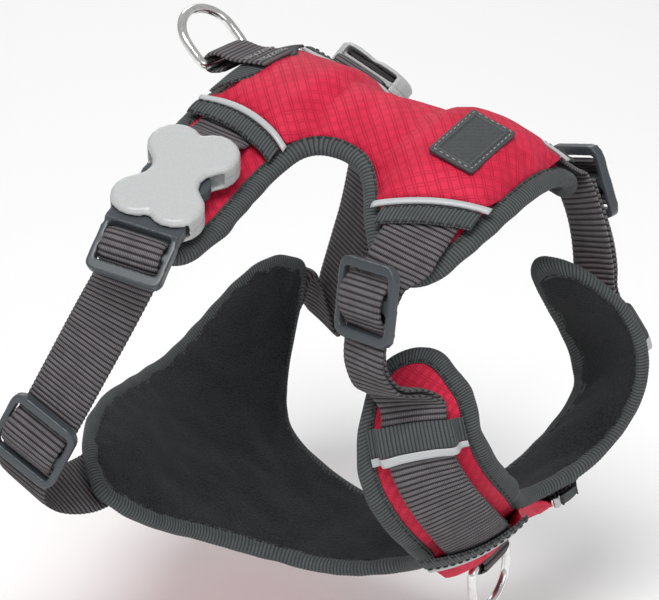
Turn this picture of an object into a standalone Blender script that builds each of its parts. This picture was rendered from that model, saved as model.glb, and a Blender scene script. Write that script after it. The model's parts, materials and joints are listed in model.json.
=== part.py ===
"""No pull dog harness: padded back panel, padded chest panel, four webbing straps,
two bone-shaped side buckles, four sliders, a leash ring on the back and one on the chest.

World frame: the dog's nose points to -Y, its left side is +X, up is +Z, and the origin
lies on the axis of the torso.  The script works in millimetres and writes metres.
A body point is (forward, sideways, up), counted from the withers."""
import math

import bmesh
import bpy
import numpy as np
from mathutils import Matrix, Vector
from mathutils.geometry import delaunay_2d_cdt

MM = 0.001
WITHERS = (0.0, 40.0, 65.0)          # world place of the body point (0, 0, 0)

# ---- driving sizes, millimetres --------------------------------------------------------
WEB_WIDTH, WEB_THICK = 22.0, 1.5     # nylon webbing
LAYER_STEP = WEB_THICK + 0.5         # from one layer of webbing to the next
GAP = 0.3                            # air between touching pieces
MOUTH_GAP = 0.5                      # air between a cover, its piping and its tape
LAYER_GAP = 1.0                      # air between a panel and what lies on it
EDGE_GAP = 1.2                       # air between a panel's edge and the binding round it
SKIN = 0.7                           # ripstop and lining cloth
FOAM_HALF = 0.9                      # half of the foam pad
BASE_H = FOAM_HALF + GAP             # height of the ripstop's underside
BINDING_REACH = 6.0                  # how far the edge binding covers the panel
BINDING_H = 3.3                      # half of the binding's height
BINDING_WEB = 0.8
TOP_H = BASE_H + SKIN + LAYER_GAP    # height of what lies on the ripstop
SHEET_SPACING = 13.0                 # mesh size of the soft solids
EDGE_SPACING = 9.0                   # mesh size along the outlines
POCKET_BAND, PIPING_BAND = 7.5, 2.6  # grosgrain along a pocket mouth, piping beside it
RING_WIRE = 1.75                     # radius of the D ring's wire
RING_WIDTH, RING_LENGTH = 26.0, 21.0

# ---- how the flat patterns drape over the dog ------------------------------------------
# Rows are pattern stations from the rear edge, columns go from the right side to the left.
BACK_STEP = (30.0, 40.0)
BACK_NET = [
    [(-13, -116, -26), (-13, -79, -14), (-13, -41, -1), (-14, -2, 5),
     (-15, 37, 0), (-19, 67, -27), (-23, 95, -55)],
    [(17, -114, -27), (17, -75, -18), (16, -40, -6), (17, -2, 7),
     (16, 35, -9), (13, 65, -36), (9, 93, -63)],
    [(47, -108, -46), (48, -72, -28), (48, -37, -12), (48, -1, 4),
     (48, 34, -14), (48, 62, -40), (48, 89, -68)],
    [(78, -99, -61), (78, -69, -39), (80, -38, -16), (80, 0, -1),
     (79, 37, -16), (79, 63, -44), (78, 85, -75)],
    [(106, -84, -74), (110, -60, -50), (112, -34, -25), (112, 1, -14),
     (109, 36, -24), (107, 58, -51), (104, 75, -81)],
]
CHEST_STEP = (32.0, 40.0)
CHEST_NET = [
    [(-35, -113, -105), (-46, -75, -113), (-55, -37, -120), (-61, 3, -124),
     (-65, 43, -116), (-67, 76, -90), (-65, 103, -61)],
    [(-18, -115, -123), (-23, -78, -130), (-29, -40, -137), (-33, -4, -142),
     (-38, 36, -129), (-39, 68, -105), (-39, 95, -74)],
    [(8, -112, -141), (2, -79, -150), (-2, -42, -153), (-4, -9, -155),
     (-17, 21, -145), (-27, 53, -124), (-30, 84, -100)],
    [(34, -101, -127), (29, -78, -156), (28, -41, -165), (27, -6, -165),
     (1, 24, -154), (-3, 55, -136), (3, 87, -111)],
    [(58, -73, -90), (60, -70, -134), (61, -37, -162), (58, -4, -163),
     (49, 29, -159), (56, 63, -136), (51, 77, -98)],
    [(82, -52, -67), (92, -58, -103), (96, -35, -137), (88, 1, -151),
     (96, 40, -132), (105, 61, -102), (88, 39, -63)],
    [(107, -31, -59), (117, -42, -85), (119, -22, -111), (111, 1, -129),
     (121, 42, -124), (125, 56, -90), (109, 43, -52)],
]
# ---- half outlines of the flat patterns: (from the rear edge, sideways) -----------------
BACK_HALF = [(0, 0), (0, 22), (1, 48), (6, 74), (14, 91), (24, 101), (34, 104), (41, 99),
             (43.5, 86), (43.5, 67), (44, 46), (49, 31), (59, 28), (69, 32), (78, 44),
             (87, 56), (96, 63), (106, 61), (112, 51), (116, 37), (118.5, 20), (119, 0)]
CHEST_HALF = [(0, 0), (0, 28), (3, 50), (10, 67), (18, 77), (28, 84), (37, 86), (47, 80),
              (57, 70), (75, 50), (100, 34), (124, 28), (138, 27), (148, 34), (151, 50),
              (150, 86), (151, 102), (154, 113), (160, 121), (168, 124), (177, 122),
              (184, 115), (189, 105), (192, 95), (192, 75), (191, 50), (192, 25), (192, 0)]
SIDES = (("right", -1), ("left", 1))  # the dog's right and left
# stations of the webbing, counted from the rear edge of each pattern
GIRTH_S, NECK_S, BELLY_S = 20.0, 99.0, 29.0
ARM_S = {"right": 171.0, "left": 167.0}

COLOURS = {
    "ripstop": ((0.60, 0.018, 0.050), 0.55, 0.0), "foam": ((0.25, 0.25, 0.26), 0.9, 0.0),
    "fleece": ((0.026, 0.028, 0.032), 0.95, 0.0), "grosgrain": ((0.060, 0.066, 0.066), 0.75, 0.0),
    "piping": ((0.52, 0.54, 0.55), 0.5, 0.0), "webbing": ((0.10, 0.092, 0.098), 0.7, 0.0),
    "socket": ((0.62, 0.63, 0.62), 0.45, 0.0), "plug": ((0.055, 0.066, 0.074), 0.35, 0.0),
    "steel": ((0.62, 0.62, 0.60), 0.22, 1.0), "rubber": ((0.050, 0.055, 0.060), 0.6, 0.0),
}


# ---- curves and surfaces -----------------------------------------------------------------
def natural_spline(points, x):
    """Values of the natural cubic spline through points at 0, 1, 2 ..., straight past its ends."""
    p = np.asarray(points, float)
    n = len(p)
    matrix, right = np.eye(n), np.zeros_like(p)
    for i in range(1, n - 1):
        matrix[i, i - 1:i + 2] = 1, 4, 1
        right[i] = 6 * (p[i - 1] - 2 * p[i] + p[i + 1])
    m = np.linalg.solve(matrix, right.reshape(n, -1)).reshape(p.shape)
    x = np.asarray(x, float)
    inner = np.clip(x, 0, n - 1)
    i = np.minimum(inner.astype(int), n - 2)
    shape = (-1,) + (1,) * (p.ndim - 1)
    f = (inner - i).reshape(shape)
    value = p[i] * (1 - f) + p[i + 1] * f + m[i] * ((1 - f) ** 3 - (1 - f)) / 6 + m[i + 1] * (f ** 3 - f) / 6
    slope_low = p[1] - p[0] - m[1] / 6
    slope_high = p[-1] - p[-2] + m[-2] / 6
    before, after = np.minimum(x, 0).reshape(shape), np.maximum(x - n + 1, 0).reshape(shape)
    return value + before * slope_low + after * slope_high


def body_point(forward, sideways, up):
    return np.array([WITHERS[0] + sideways, WITHERS[1] - forward, WITHERS[2] + up])


class Drape:
    """Maps pattern points (station, sideways) and a height above the cloth to the world."""

    def __init__(self, net, step, outward):
        self.net = np.array([[body_point(*p) for p in row] for row in net])
        self.step, self.outward = step, outward

    def surface(self, p):
        p = np.atleast_2d(np.asarray(p, float))
        rows, cols = self.net.shape[:2]
        row_weights = natural_spline(np.eye(rows), p[:, 0] / self.step[0])
        col_weights = natural_spline(np.eye(cols), p[:, 1] / self.step[1] + (cols - 1) / 2)
        return np.einsum("ni,nj,ijk->nk", row_weights, col_weights, self.net)

    def axes(self, p):
        """Unit vectors along the pattern's station, along its side, and out of the cloth."""
        p = np.atleast_2d(np.asarray(p, float))
        h = 0.5
        along = self.surface(p + [h, 0]) - self.surface(p - [h, 0])
        across = self.surface(p + [0, h]) - self.surface(p - [0, h])
        normal = np.cross(along, across) * self.outward
        return [v / np.linalg.norm(v, axis=1)[:, None] for v in (along, across, normal)]

    def at(self, p, height=0.0):
        normal = self.axes(p)[2]
        return self.surface(p) + normal * np.broadcast_to(height, len(normal))[:, None]

    def step_to(self, p, move):
        """Pattern point reached from p by a short move along the cloth, in world millimetres."""
        p, h = np.asarray(p, float), 0.5
        jacobian = np.stack([(self.surface(p + d) - self.surface(p - d))[0] for d in np.eye(2) * h], 1)
        return p + np.linalg.lstsq(jacobian, move, rcond=None)[0]


BACK = Drape(BACK_NET, BACK_STEP, 1)
CHEST = Drape(CHEST_NET, CHEST_STEP, -1)


def outline(half, spacing):
    """Closed symmetric outline, evenly spaced, counter-clockwise in (station, sideways)."""
    h = natural_spline(half, np.linspace(0, len(half) - 1, 400))
    loop = np.concatenate([h, (h * [1, -1])[::-1][1:-1]])
    return even(loop, spacing)


def even(loop, spacing):
    closed = np.vstack([loop, loop[:1]])
    length = np.concatenate([[0], np.cumsum(np.linalg.norm(np.diff(closed, axis=0), axis=1))])
    count = int(round(length[-1] / spacing))
    at = np.arange(count) * length[-1] / count
    loop = np.stack([np.interp(at, length, closed[:, k]) for k in (0, 1)], 1)
    x, y = loop.T
    area = (x * np.roll(y, -1) - y * np.roll(x, -1)).sum()
    return loop if area > 0 else loop[::-1]


def inward(loop):
    tangent = np.roll(loop, -1, 0) - np.roll(loop, 1, 0)
    tangent /= np.linalg.norm(tangent, axis=1)[:, None]
    return np.stack([-tangent[:, 1], tangent[:, 0]], 1)


def inset(loop, distance):
    return loop + inward(loop) * distance


def inside(loop, p):
    """True for each point of p that lies inside the loop."""
    p = np.atleast_2d(p)
    a, b = loop, np.roll(loop, -1, 0)
    above = (a[:, 1][None] > p[:, 1][:, None]) != (b[:, 1][None] > p[:, 1][:, None])
    rise = np.where(b[:, 1] == a[:, 1], 1e-9, b[:, 1] - a[:, 1])
    cross = a[:, 0] + (p[:, 1][:, None] - a[:, 1]) * (b[:, 0] - a[:, 0]) / rise
    return (above & (p[:, 0][:, None] < cross)).sum(1) % 2 == 1


def fill(loop, spacing):
    """Triangles over a pattern loop, with a regular grid of points inside it."""
    low, high = loop.min(0), loop.max(0)
    rows = np.arange(low[0], high[0], spacing * 0.87)
    columns = np.arange(low[1], high[1], spacing)
    grid = np.array([(s, t + spacing / 2 * (i % 2)) for i, s in enumerate(rows) for t in columns])
    near_edge = np.linalg.norm(grid[:, None] - loop[None], axis=2).min(1) < spacing * 0.6
    grid = grid[inside(loop, grid) & ~near_edge]
    points = [Vector(p) for p in np.vstack([loop, grid])]
    result = delaunay_2d_cdt(points, [], [list(range(len(loop)))], 1, 1e-6)
    verts, faces = np.array([tuple(v) for v in result[0]]), []
    for face in result[2]:
        a, b, c = (verts[i] for i in face)
        turn = (b[0] - a[0]) * (c[1] - a[1]) - (b[1] - a[1]) * (c[0] - a[0])
        faces.append(tuple(face) if turn > 0 else tuple(face)[::-1])
    return verts, faces


def smooth_step(x, low, high):
    """1 below low, 0 above high, smooth between."""
    f = np.clip((high - np.asarray(x, float)) / (high - low), 0, 1)
    return f * f * (3 - 2 * f)


# ---- objects ------------------------------------------------------------------------------
def start_scene():
    for obj in list(bpy.data.objects):
        bpy.data.objects.remove(obj, do_unlink=True)
    parts = bpy.data.collections.new("no_pull_harness")
    cutters = bpy.data.collections.new("cutters")
    for collection in (parts, cutters):
        bpy.context.scene.collection.children.link(collection)
    return parts, cutters


PARTS, CUTTERS = start_scene()


def make_materials():
    materials = {}
    for name, (colour, roughness, metallic) in COLOURS.items():
        material = bpy.data.materials.new(name)
        material.use_nodes = True
        shader = material.node_tree.nodes["Principled BSDF"]
        shader.inputs["Base Color"].default_value = (*colour, 1)
        shader.inputs["Roughness"].default_value = roughness
        shader.inputs["Metallic"].default_value = metallic
        materials[name] = material
    return materials


MATERIALS = make_materials()


def link(name, data, material, frame=None):
    obj = bpy.data.objects.new(name, data)
    PARTS.objects.link(obj)
    if material:
        data.materials.append(MATERIALS[material])
    if frame is not None:
        obj.matrix_world = frame
    return obj


def mesh_object(name, verts, faces, material):
    """A mesh from world points in millimetres."""
    mesh = bpy.data.meshes.new(name)
    mesh.from_pydata([tuple(np.asarray(v, float) * MM) for v in verts], [],
                     [tuple(int(i) for i in f) for f in faces])
    mesh.validate()
    return link(name, mesh, material)


def slab(name, drape, loop, low, thickness, material):
    """A panel layer: the pattern loop draped at a height, with its top a thickness above it."""
    points, faces = fill(loop, SHEET_SPACING)
    if drape.outward < 0:
        faces = [f[::-1] for f in faces]
    base = low(points) if callable(low) else np.full(len(points), low)
    verts = np.concatenate([drape.at(points, base + thickness), drape.at(points, base)])
    n = len(points)
    directed = {(f[k], f[(k + 1) % len(f)]) for f in faces for k in range(len(f))}
    rim = [(a, b) for a, b in directed if (b, a) not in directed]
    walls = [(b, a, a + n, b + n) for a, b in sorted(rim)]
    return mesh_object(name, verts, faces + [tuple(i + n for i in f[::-1]) for f in faces] + walls, material)


def aligned(rows):
    """The rows as an array, each one running the same way across as the row before it."""
    rows = np.array(rows, float)
    for a, b in zip(rows, rows[1:]):
        if np.dot(a[-1] - a[0], b[-1] - b[0]) < 0:
            b[:] = b[::-1].copy()
    return rows


def band(name, rows, thickness=WEB_THICK, material="webbing"):
    """Tape or webbing through rows of world points across its width, thickened about itself."""
    rows = aligned(rows)
    n, m = rows.shape[:2]
    faces = []
    for i in range(n - 1):
        for k in range(i * m, i * m + m - 1):
            faces += [(k, k + 1, k + m + 1), (k, k + m + 1, k + m)]
    obj = mesh_object(name, rows.reshape(-1, 3), faces, material)
    modifier = obj.modifiers.new("thickness", "SOLIDIFY")
    modifier.thickness, modifier.offset = thickness * MM, 0
    return obj


def unit(v):
    v = np.asarray(v, float)
    return v / np.linalg.norm(v)


def flat_row(centre, across, width=WEB_WIDTH):
    """Three points across a piece of webbing that hangs free."""
    half = unit(across) * width / 2
    return [centre - half, centre, centre + half]


def draped_row(drape, p, heading, height, offsets=(-WEB_WIDTH / 2, 0, WEB_WIDTH / 2)):
    """Points across a piece of webbing that lies on a panel and runs in a world direction."""
    normal = drape.axes(p)[2][0]
    across = unit(np.cross(normal, heading))
    heights = np.broadcast_to(height, len(offsets))
    return [drape.at(drape.step_to(p, across * k), h)[0] for k, h in zip(offsets, heights)]


def bend(row_a, leave, row_b, arrive, steps, pull=1.0):
    """Rows of a smooth curve between two rows, without the two rows themselves."""
    a, b = np.array(row_a), np.array(row_b)
    if np.dot(a[-1] - a[0], b[-1] - b[0]) < 0:
        b = b[::-1]
    length = np.linalg.norm(a[1] - b[1]) * pull
    rows = []
    for x in np.linspace(0, 1, steps + 2)[1:-1]:
        rows.append(a * (2 * x ** 3 - 3 * x ** 2 + 1) + b * (3 * x ** 2 - 2 * x ** 3)
                    + unit(leave) * length * (x ** 3 - 2 * x ** 2 + x)
                    + unit(arrive) * length * (x ** 3 - x ** 2))
    return [list(row) for row in rows]


def offset_rows(rows, distance, out):
    """The rows moved off their own surface, on the side that out points to at the first row."""
    normal = np.cross(np.gradient(rows, axis=1), np.gradient(rows, axis=0))
    normal /= np.linalg.norm(normal, axis=2)[:, :, None]
    return rows + normal * math.copysign(distance, np.dot(normal[0, 1], out))


def frame_of(origin, x, y):
    """Matrix with its origin in metres, x across, y along, z out."""
    y = unit(y)
    x = unit(np.asarray(x, float) - y * np.dot(x, y))
    z = np.cross(x, y)
    matrix = Matrix(np.column_stack([x, y, z]).tolist()).to_4x4()
    matrix.translation = Vector(np.asarray(origin, float) * MM)
    return matrix


def apply_frame(frame, p):
    """World millimetres of a local millimetre point."""
    return np.array(frame @ Vector(np.asarray(p, float) * MM)) / MM


def frame_axis(frame, k):
    return np.array(frame.col[k][:3])


def outline_prism(name, loops, z_low, z_high, material, frame, bevel=0.0):
    """A flat outline with holes, extruded between two heights."""
    curve = bpy.data.curves.new(name, "CURVE")
    curve.dimensions, curve.fill_mode, curve.extrude = "2D", "BOTH", (z_high - z_low) / 2 * MM
    for loop in loops:
        spline = curve.splines.new("POLY")
        spline.points.add(len(loop) - 1)
        for point, (x, y) in zip(spline.points, loop):
            point.co = (x * MM, y * MM, 0, 1)
        spline.use_cyclic_u = True
    shift = Matrix.Translation((0, 0, (z_low + z_high) / 2 * MM))
    flat = link(name + "_outline", curve, None)
    mesh = bpy.data.meshes.new_from_object(flat.evaluated_get(bpy.context.evaluated_depsgraph_get()))
    bpy.data.objects.remove(flat, do_unlink=True)
    bm = bmesh.new()
    bm.from_mesh(mesh)
    bmesh.ops.remove_doubles(bm, verts=bm.verts, dist=0.00001)
    bmesh.ops.dissolve_limit(bm, angle_limit=0.001, verts=bm.verts, edges=bm.edges)
    bm.transform(shift)
    bm.to_mesh(mesh)
    bm.free()
    obj = link(name, mesh, material, frame)
    if bevel:
        modifier = obj.modifiers.new("edges", "BEVEL")
        modifier.width, modifier.segments, modifier.limit_method = bevel * MM, 1, "ANGLE"
        modifier.angle_limit = math.radians(50)
    return obj


def box(name, low, high, material, frame):
    """A box between two local corners."""
    bm = bmesh.new()
    bmesh.ops.create_cube(bm, size=1)
    size, centre = (np.array(high) - low) * MM, (np.array(high) + low) / 2 * MM
    bm.transform(Matrix.Translation(Vector(centre)) @ Matrix.Diagonal((*size, 1)))
    mesh = bpy.data.meshes.new(name)
    bm.to_mesh(mesh)
    bm.free()
    return link(name, mesh, material, frame)


def boolean(obj, tool, operation):
    modifier = obj.modifiers.new(operation.lower(), "BOOLEAN")
    modifier.object, modifier.operation, modifier.solver = tool, operation, "EXACT"
    tool.hide_render, tool.display_type = True, "WIRE"
    CUTTERS.objects.link(tool)
    PARTS.objects.unlink(tool)


def rounded_rectangle(width, height, radius, centre_y=0.0, steps=3):
    points = []
    for corner, (sx, sy) in enumerate(((1, 1), (-1, 1), (-1, -1), (1, -1))):
        for k in range(steps + 1):
            angle = math.pi / 2 * (corner + k / steps)
            points.append((sx * (width / 2 - radius) + radius * math.cos(angle),
                           centre_y + sy * (height / 2 - radius) + radius * math.sin(angle)))
    return points


# ---- panels -------------------------------------------------------------------------------
def back_pocket(s):
    """Sideways place of the pocket mouths of the back panel at station s."""
    s = np.asarray(s, float)
    rear = 25.5 + 8.0 * ((s - 17) / 26) ** 2
    front = 25.3 + 0.32 * (112 - s) + 0.0071 * (112 - s) ** 2
    return np.where(s < 61, rear, front)


def chest_pocket(s):
    """Sideways place of the pocket mouths of the chest panel at station s."""
    s = np.asarray(s, float)
    rear = 44.0 + 6.0 * ((s - 28) / 25) ** 2
    front = 11.5 + 0.25 * (192.7 - s) + 0.0133 * (192.7 - s) ** 2
    return np.where(s < 110, rear, front)


ONE_LAYER = WEB_THICK + LAYER_GAP + 0.3                 # lift of a cover over one layer of webbing
NECK_LOW_H = BINDING_H + 0.5 + WEB_THICK / 2       # first layer of neck webbing on a panel
NECK_LIFT = NECK_LOW_H + WEB_THICK / 2 + LAYER_GAP - TOP_H
TWO_LAYERS = NECK_LOW_H + WEB_THICK / 2 + LAYER_STEP + LAYER_GAP - TOP_H


def back_lift(p):
    """Extra height of the cover where webbing runs under it."""
    s = p[:, 0]
    girth, neck = smooth_step(abs(s - GIRTH_S), 16, 25), smooth_step(abs(s - NECK_S), 15, 24)
    return ONE_LAYER * girth + NECK_LIFT * neck


def arm_station(t):
    """Station of the neck webbing under the cover of the chest panel."""
    middle, half = (ARM_S["right"] + ARM_S["left"]) / 2, (ARM_S["left"] - ARM_S["right"]) / 2
    return middle + half * np.clip(t / 20, -1, 1)


def chest_lift(p):
    s = p[:, 0]
    belly = smooth_step(abs(s - BELLY_S), 16, 25)
    mouths = TWO_LAYERS * (1 - smooth_step(abs(p[:, 1]), 4, 19))
    return ONE_LAYER * belly + mouths * smooth_step(abs(s - arm_station(p[:, 1])), 17, 25)


def cover_loop(edge, pocket):
    """The part of the panel between its pocket mouths, as a loop."""
    fine = even(edge, 1.0)
    keep = abs(fine[:, 1]) < pocket(fine[:, 0]) - 0.01
    start = int(np.argmax(keep & ~np.roll(keep, 1)))
    fine, keep = np.roll(fine, -start, 0), np.roll(keep, -start)
    loop, i = [], 0
    while i < len(fine):
        if keep[i]:
            loop.append(fine[i])
            i += 1
            continue
        a = fine[i]
        while i < len(fine) and not keep[i]:
            i += 1
        b = fine[i % len(fine)]
        side = math.copysign(1, a[1])
        for s in np.linspace(a[0], b[0], 24)[1:-1]:
            loop.append((s, side * float(pocket(s))))
    return even(np.array(loop), EDGE_SPACING)


def binding(name, drape, loop):
    """Folded tape round a panel's edge: a U section swept along the outline."""
    h, w, r = BINDING_H, BINDING_WEB, BINDING_REACH
    section = [(0, -h), (0, h), (r, h), (r, h - SKIN), (w, h - SKIN), (w, SKIN - h), (r, SKIN - h), (r, -h)]
    rings = [drape.at(inset(loop, depth), height) for depth, height in section]
    n, m = len(loop), len(section)
    verts = np.concatenate(rings)
    faces = [(j * n + i, j * n + (i + 1) % n, (j + 1) % m * n + (i + 1) % n, (j + 1) % m * n + i)
             for j in range(m) for i in range(n)]
    if drape.outward < 0:
        faces = [f[::-1] for f in faces]
    return mesh_object(name, verts, faces, "grosgrain")


def pocket_bands(drape, edge, pocket, lift, side, span, names, count=9):
    """Grosgrain tape and piping along a pocket mouth, from one edge binding to the other."""
    field = inset(edge, BINDING_REACH + LAYER_GAP)
    s = np.linspace(*span, 200)
    start = PIPING_BAND + 2 * MOUTH_GAP
    rows = [(start, start + POCKET_BAND, names[0], "grosgrain")]
    if names[1]:
        rows.append((MOUTH_GAP, MOUTH_GAP + PIPING_BAND, names[1], "piping"))
    for low, high, name, material in rows:
        ok = np.ones(len(s), bool)
        for offset in (low, high):
            ok &= inside(field, np.stack([s, side * (pocket(s) + offset)], 1))
        kept = s[ok]
        points = [np.stack([along, side * (pocket(along) + offset)], 1)
                  for along in [np.linspace(kept[0], kept[-1], count)] for offset in (low, high)]
        edges = [drape.at(p, TOP_H + SKIN / 2 + lift(p)) for p in points]
        band(name, list(zip(*edges)), SKIN, material)


def make_panel(prefix, drape, half, pocket, lift):
    edge = outline(half, EDGE_SPACING)
    inner = inset(edge, BINDING_WEB + EDGE_GAP)
    slab(prefix + "_lining", drape, inner, -BASE_H - SKIN, SKIN, "fleece")
    slab(prefix + "_foam_pad", drape, inner, -FOAM_HALF, 2 * FOAM_HALF, "foam")
    slab(prefix + "_base_panel", drape, inner, BASE_H, SKIN, "ripstop")
    binding(prefix + "_edge_binding", drape, edge)
    field = inset(outline(half, 1.0), BINDING_REACH + EDGE_GAP)
    cover = cover_loop(field, pocket)
    slab(prefix + "_cover_panel", drape, cover, lambda p: TOP_H + lift(p), SKIN, "ripstop")
    return edge


PATCH_HALF, PATCH_DEPTH = 26.0, 11.0  # tape patch under the leash ring's tab
PATCH_H = TOP_H + ONE_LAYER + SKIN + GAP + SKIN   # middle of its thickness


def make_back_panel():
    edge = make_panel("back", BACK, BACK_HALF, back_pocket, back_lift)
    for name, side in SIDES:
        pocket_bands(BACK, edge, back_pocket, back_lift, side, (1, 60),
                     (name + "_rear_pocket_binding", name + "_rear_pocket_piping"))
        pocket_bands(BACK, edge, back_pocket, back_lift, side, (70, 117),
                     (name + "_front_pocket_binding", name + "_front_pocket_piping"))
    t = np.linspace(-PATCH_HALF, PATCH_HALF, 15)
    rear = np.full_like(t, BINDING_REACH + 0.8)
    front = BINDING_REACH + 1.2 + PATCH_DEPTH * smooth_step(abs(t), 6, PATCH_HALF)
    edges = [BACK.at(np.stack([s, t], 1), PATCH_H) for s in (rear, front)]
    band("rear_patch_tape", list(zip(*edges)), SKIN, "grosgrain")


def make_chest_panel():
    edge = make_panel("chest", CHEST, CHEST_HALF, chest_pocket, chest_lift)
    for name, side in SIDES:
        pocket_bands(CHEST, edge, chest_pocket, chest_lift, side, (140, 191),
                     (name + "_chest_pocket_binding", name + "_chest_pocket_piping"), 12)
        pocket_bands(CHEST, edge, chest_pocket, chest_lift, side, (1, 90),
                     (name + "_belly_pocket_binding", None))
        make_keeper(name, side)


# ---- heights of the neck webbing on the chest panel's arms ------------------------------------
LOW_H = TOP_H + WEB_THICK / 2         # webbing that lies on the ripstop
OVER_BINDING = BINDING_H + 1.2 + WEB_THICK / 2    # webbing that crosses an edge binding
KEEPER_T, KEEPER_WIDTH = 87.0, 9.5    # loop that holds the webbing down on the arm
KEEPER_SPAN = (-16.6, -14.2, -12.2, -6, 0, 6, 12.2, 14.2, 16.6)


def arm_height(t):
    """Height of the first layer of neck webbing, highest at the keeper."""
    return NECK_LOW_H + (OVER_BINDING - NECK_LOW_H) * float(1 - smooth_step(t, 66, 84))


def arm_heading(side, t, station):
    """Direction of the neck webbing as it runs up the arm into its pocket."""
    return -CHEST.axes((station, side * t))[1][0] * side


def make_keeper(name, side):
    top = OVER_BINDING + LAYER_STEP + WEB_THICK / 2 + 0.6 + SKIN / 2
    low = BINDING_H + 0.6 + SKIN / 2
    heights = [low, low + 0.3] + [top] * 5 + [low + 0.3, low]
    pieces = ((name + "_keeper_loop", KEEPER_T, KEEPER_T + KEEPER_WIDTH, "grosgrain"),
              (name + "_keeper_piping", KEEPER_T - 3, KEEPER_T - GAP, "piping"))
    for node, t0, t1, material in pieces:
        rows = [draped_row(CHEST, (ARM_S[name], side * t), arm_heading(side, t, ARM_S[name]),
                           heights, KEEPER_SPAN) for t in (t0, t1)]
        band(node, list(zip(*rows)), SKIN, material)


# ---- buckles ------------------------------------------------------------------------------
SOCKET_THICK = 10.5
LOBE, NOTCH = (7.0, 14.0, 9.8), (16.64, 7.2)      # bone outline: lobe x, y, radius; notch x, radius
MOUTH_Y = LOBE[1] + LOBE[2]                       # the end that takes the plug
SOCKET_HEIGHT = 5.4                               # clear of the edge binding
SOCKET_PLACE = {"right": (24.0, 77.0, -0.14, -0.05), "left": (14.0, 72.0, 0.12, 0.0)}
PLUG_TILT = math.radians(25)                      # bend between the prongs and the strap frame


def bone_outline(steps=5):
    """Four round lobes joined by two hollow notches that are tangent to them."""
    lx, ly, lr = LOBE
    nx, nr = NOTCH
    touch = math.atan2(ly, nx - lx)
    crease = math.acos(lx / lr)
    angles = np.linspace(-touch, math.pi - crease, steps * 2)
    quarter = [(lx + lr * math.cos(a), ly + lr * math.sin(a)) for a in angles]
    notch = [(nx - nr * math.cos(a), nr * math.sin(a)) for a in np.linspace(0, touch, steps // 2 + 1)][:-1]
    quarter = notch + quarter
    right = [(x, -y) for x, y in quarter[::-1]] + quarter[1:]
    return right + [(-x, y) for x, y in right[::-1]][1:-1]


def socket_frame(name, side):
    """On the wing of the back panel: y points outward along the wing, z away from it."""
    station, sideways, yaw, pitch = SOCKET_PLACE[name]
    p = (station, side * sideways)
    along, across, normal = (v[0] for v in BACK.axes(p))
    outward = across * side * math.cos(yaw) - along * math.sin(yaw)
    outward = unit(outward * math.cos(pitch) + normal * math.sin(pitch))
    return frame_of(BACK.at(p, SOCKET_HEIGHT)[0], np.cross(outward, normal), outward)


def cavity_cutter(name, loops, half_width, frame):
    """A cutter whose (y, z) outline is extruded across the socket."""
    turn = Matrix(((0, 0, 1, 0), (1, 0, 0, 0), (0, 1, 0, 0), (0, 0, 0, 1)))
    return outline_prism(name, loops, -half_width, half_width, None, frame @ turn)


def make_socket(name, frame):
    socket = outline_prism(name + "_buckle_socket", [bone_outline()], 0, SOCKET_THICK, "socket", frame, 1.3)
    throat = box(name + "_plug_cavity", (-14.5, -8.5, 2.3), (14.5, MOUTH_Y + 5, 8.0), None, frame)
    boolean(socket, throat, "DIFFERENCE")
    opening = [(-11.5, 1.6), (-11.5, 8.8), (-30, 8.8), (-30, 1.6)]
    bar = [(-17.2, 3.9), (-17.2, 6.2), (-20.2, 6.2), (-20.2, 3.9)]
    boolean(socket, cavity_cutter(name + "_web_cavity", [opening, bar], 12.0, frame), "DIFFERENCE")


# ---- plug: a base block with two prongs, and a strap frame bent down from it -----------------
BLOCK = (13.8, 19.5, 26.6, 2.7, 7.6)              # half width, y from, y to, z from, z to
STRAP_FRAME = (28.0, 19.0, 3.0)                   # width, length, corner radius
FRAME_Z = (-2.4, 1.8)
FRAME_ORIGIN_Y, FRAME_ORIGIN_Z = MOUTH_Y + 1.4, 5.2
WINDOW = (23.2, 5.9)
WINDOW_Y = (3.6, 12.0)
BAR_Y = sum(WINDOW_Y) / 2                         # bar that the strap turns round
STRAP_DROP = 5.4                                  # strap's middle under the frame's own middle
PRONG_PIVOT = (9.0, 17.0)


def strap_frame(frame):
    """The bent frame of the plug, which the webbing passes through."""
    return frame @ Matrix.Translation((0, FRAME_ORIGIN_Y * MM, FRAME_ORIGIN_Z * MM)) \
        @ Matrix.Rotation(-PLUG_TILT, 4, "X")


def make_plug(name, frame):
    half, y0, y1, z0, z1 = BLOCK
    plug = box(name + "_buckle_plug", (-half, y0, z0), (half, y1, z1), "plug", frame)
    loops = [rounded_rectangle(STRAP_FRAME[0], STRAP_FRAME[1], STRAP_FRAME[2], STRAP_FRAME[1] / 2)]
    loops += [rounded_rectangle(WINDOW[0], WINDOW[1], 0.6, y, 1)[::-1] for y in WINDOW_Y]
    boolean(plug, outline_prism(name + "_plug_frame", loops, *FRAME_Z, None, strap_frame(frame)), "UNION")
    for sx in (-1, 1):
        forward = frame_axis(frame, 0)[1] * sx < 0
        make_prong(name + ("_front_prong" if forward else "_rear_prong"), frame, sx)


def make_prong(name, frame, sx):
    """A spring arm whose pad shows in the bone's waist; its origin is on its squeeze axis."""
    px, py = PRONG_PIVOT
    pad = [(NOTCH[0] - 10.5 + 6.6 * math.cos(a), 6.4 * math.sin(a)) for a in np.linspace(-1.0, 1.0, 7)]
    shape = [(7.2, 19.1), (7.2, -4.5), (8.4, -7.4), (9.5, -7.4)] + pad + [(9.6, 8.5), (10.6, 19.1)]
    loop = [(sx * (x - px), y - py) for x, y in shape]
    at_pivot = frame @ Matrix.Translation((sx * px * MM, py * MM, 0))
    outline_prism(name, [loop if sx > 0 else loop[::-1]], 2.8, 7.4, "plug", at_pivot)


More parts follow.
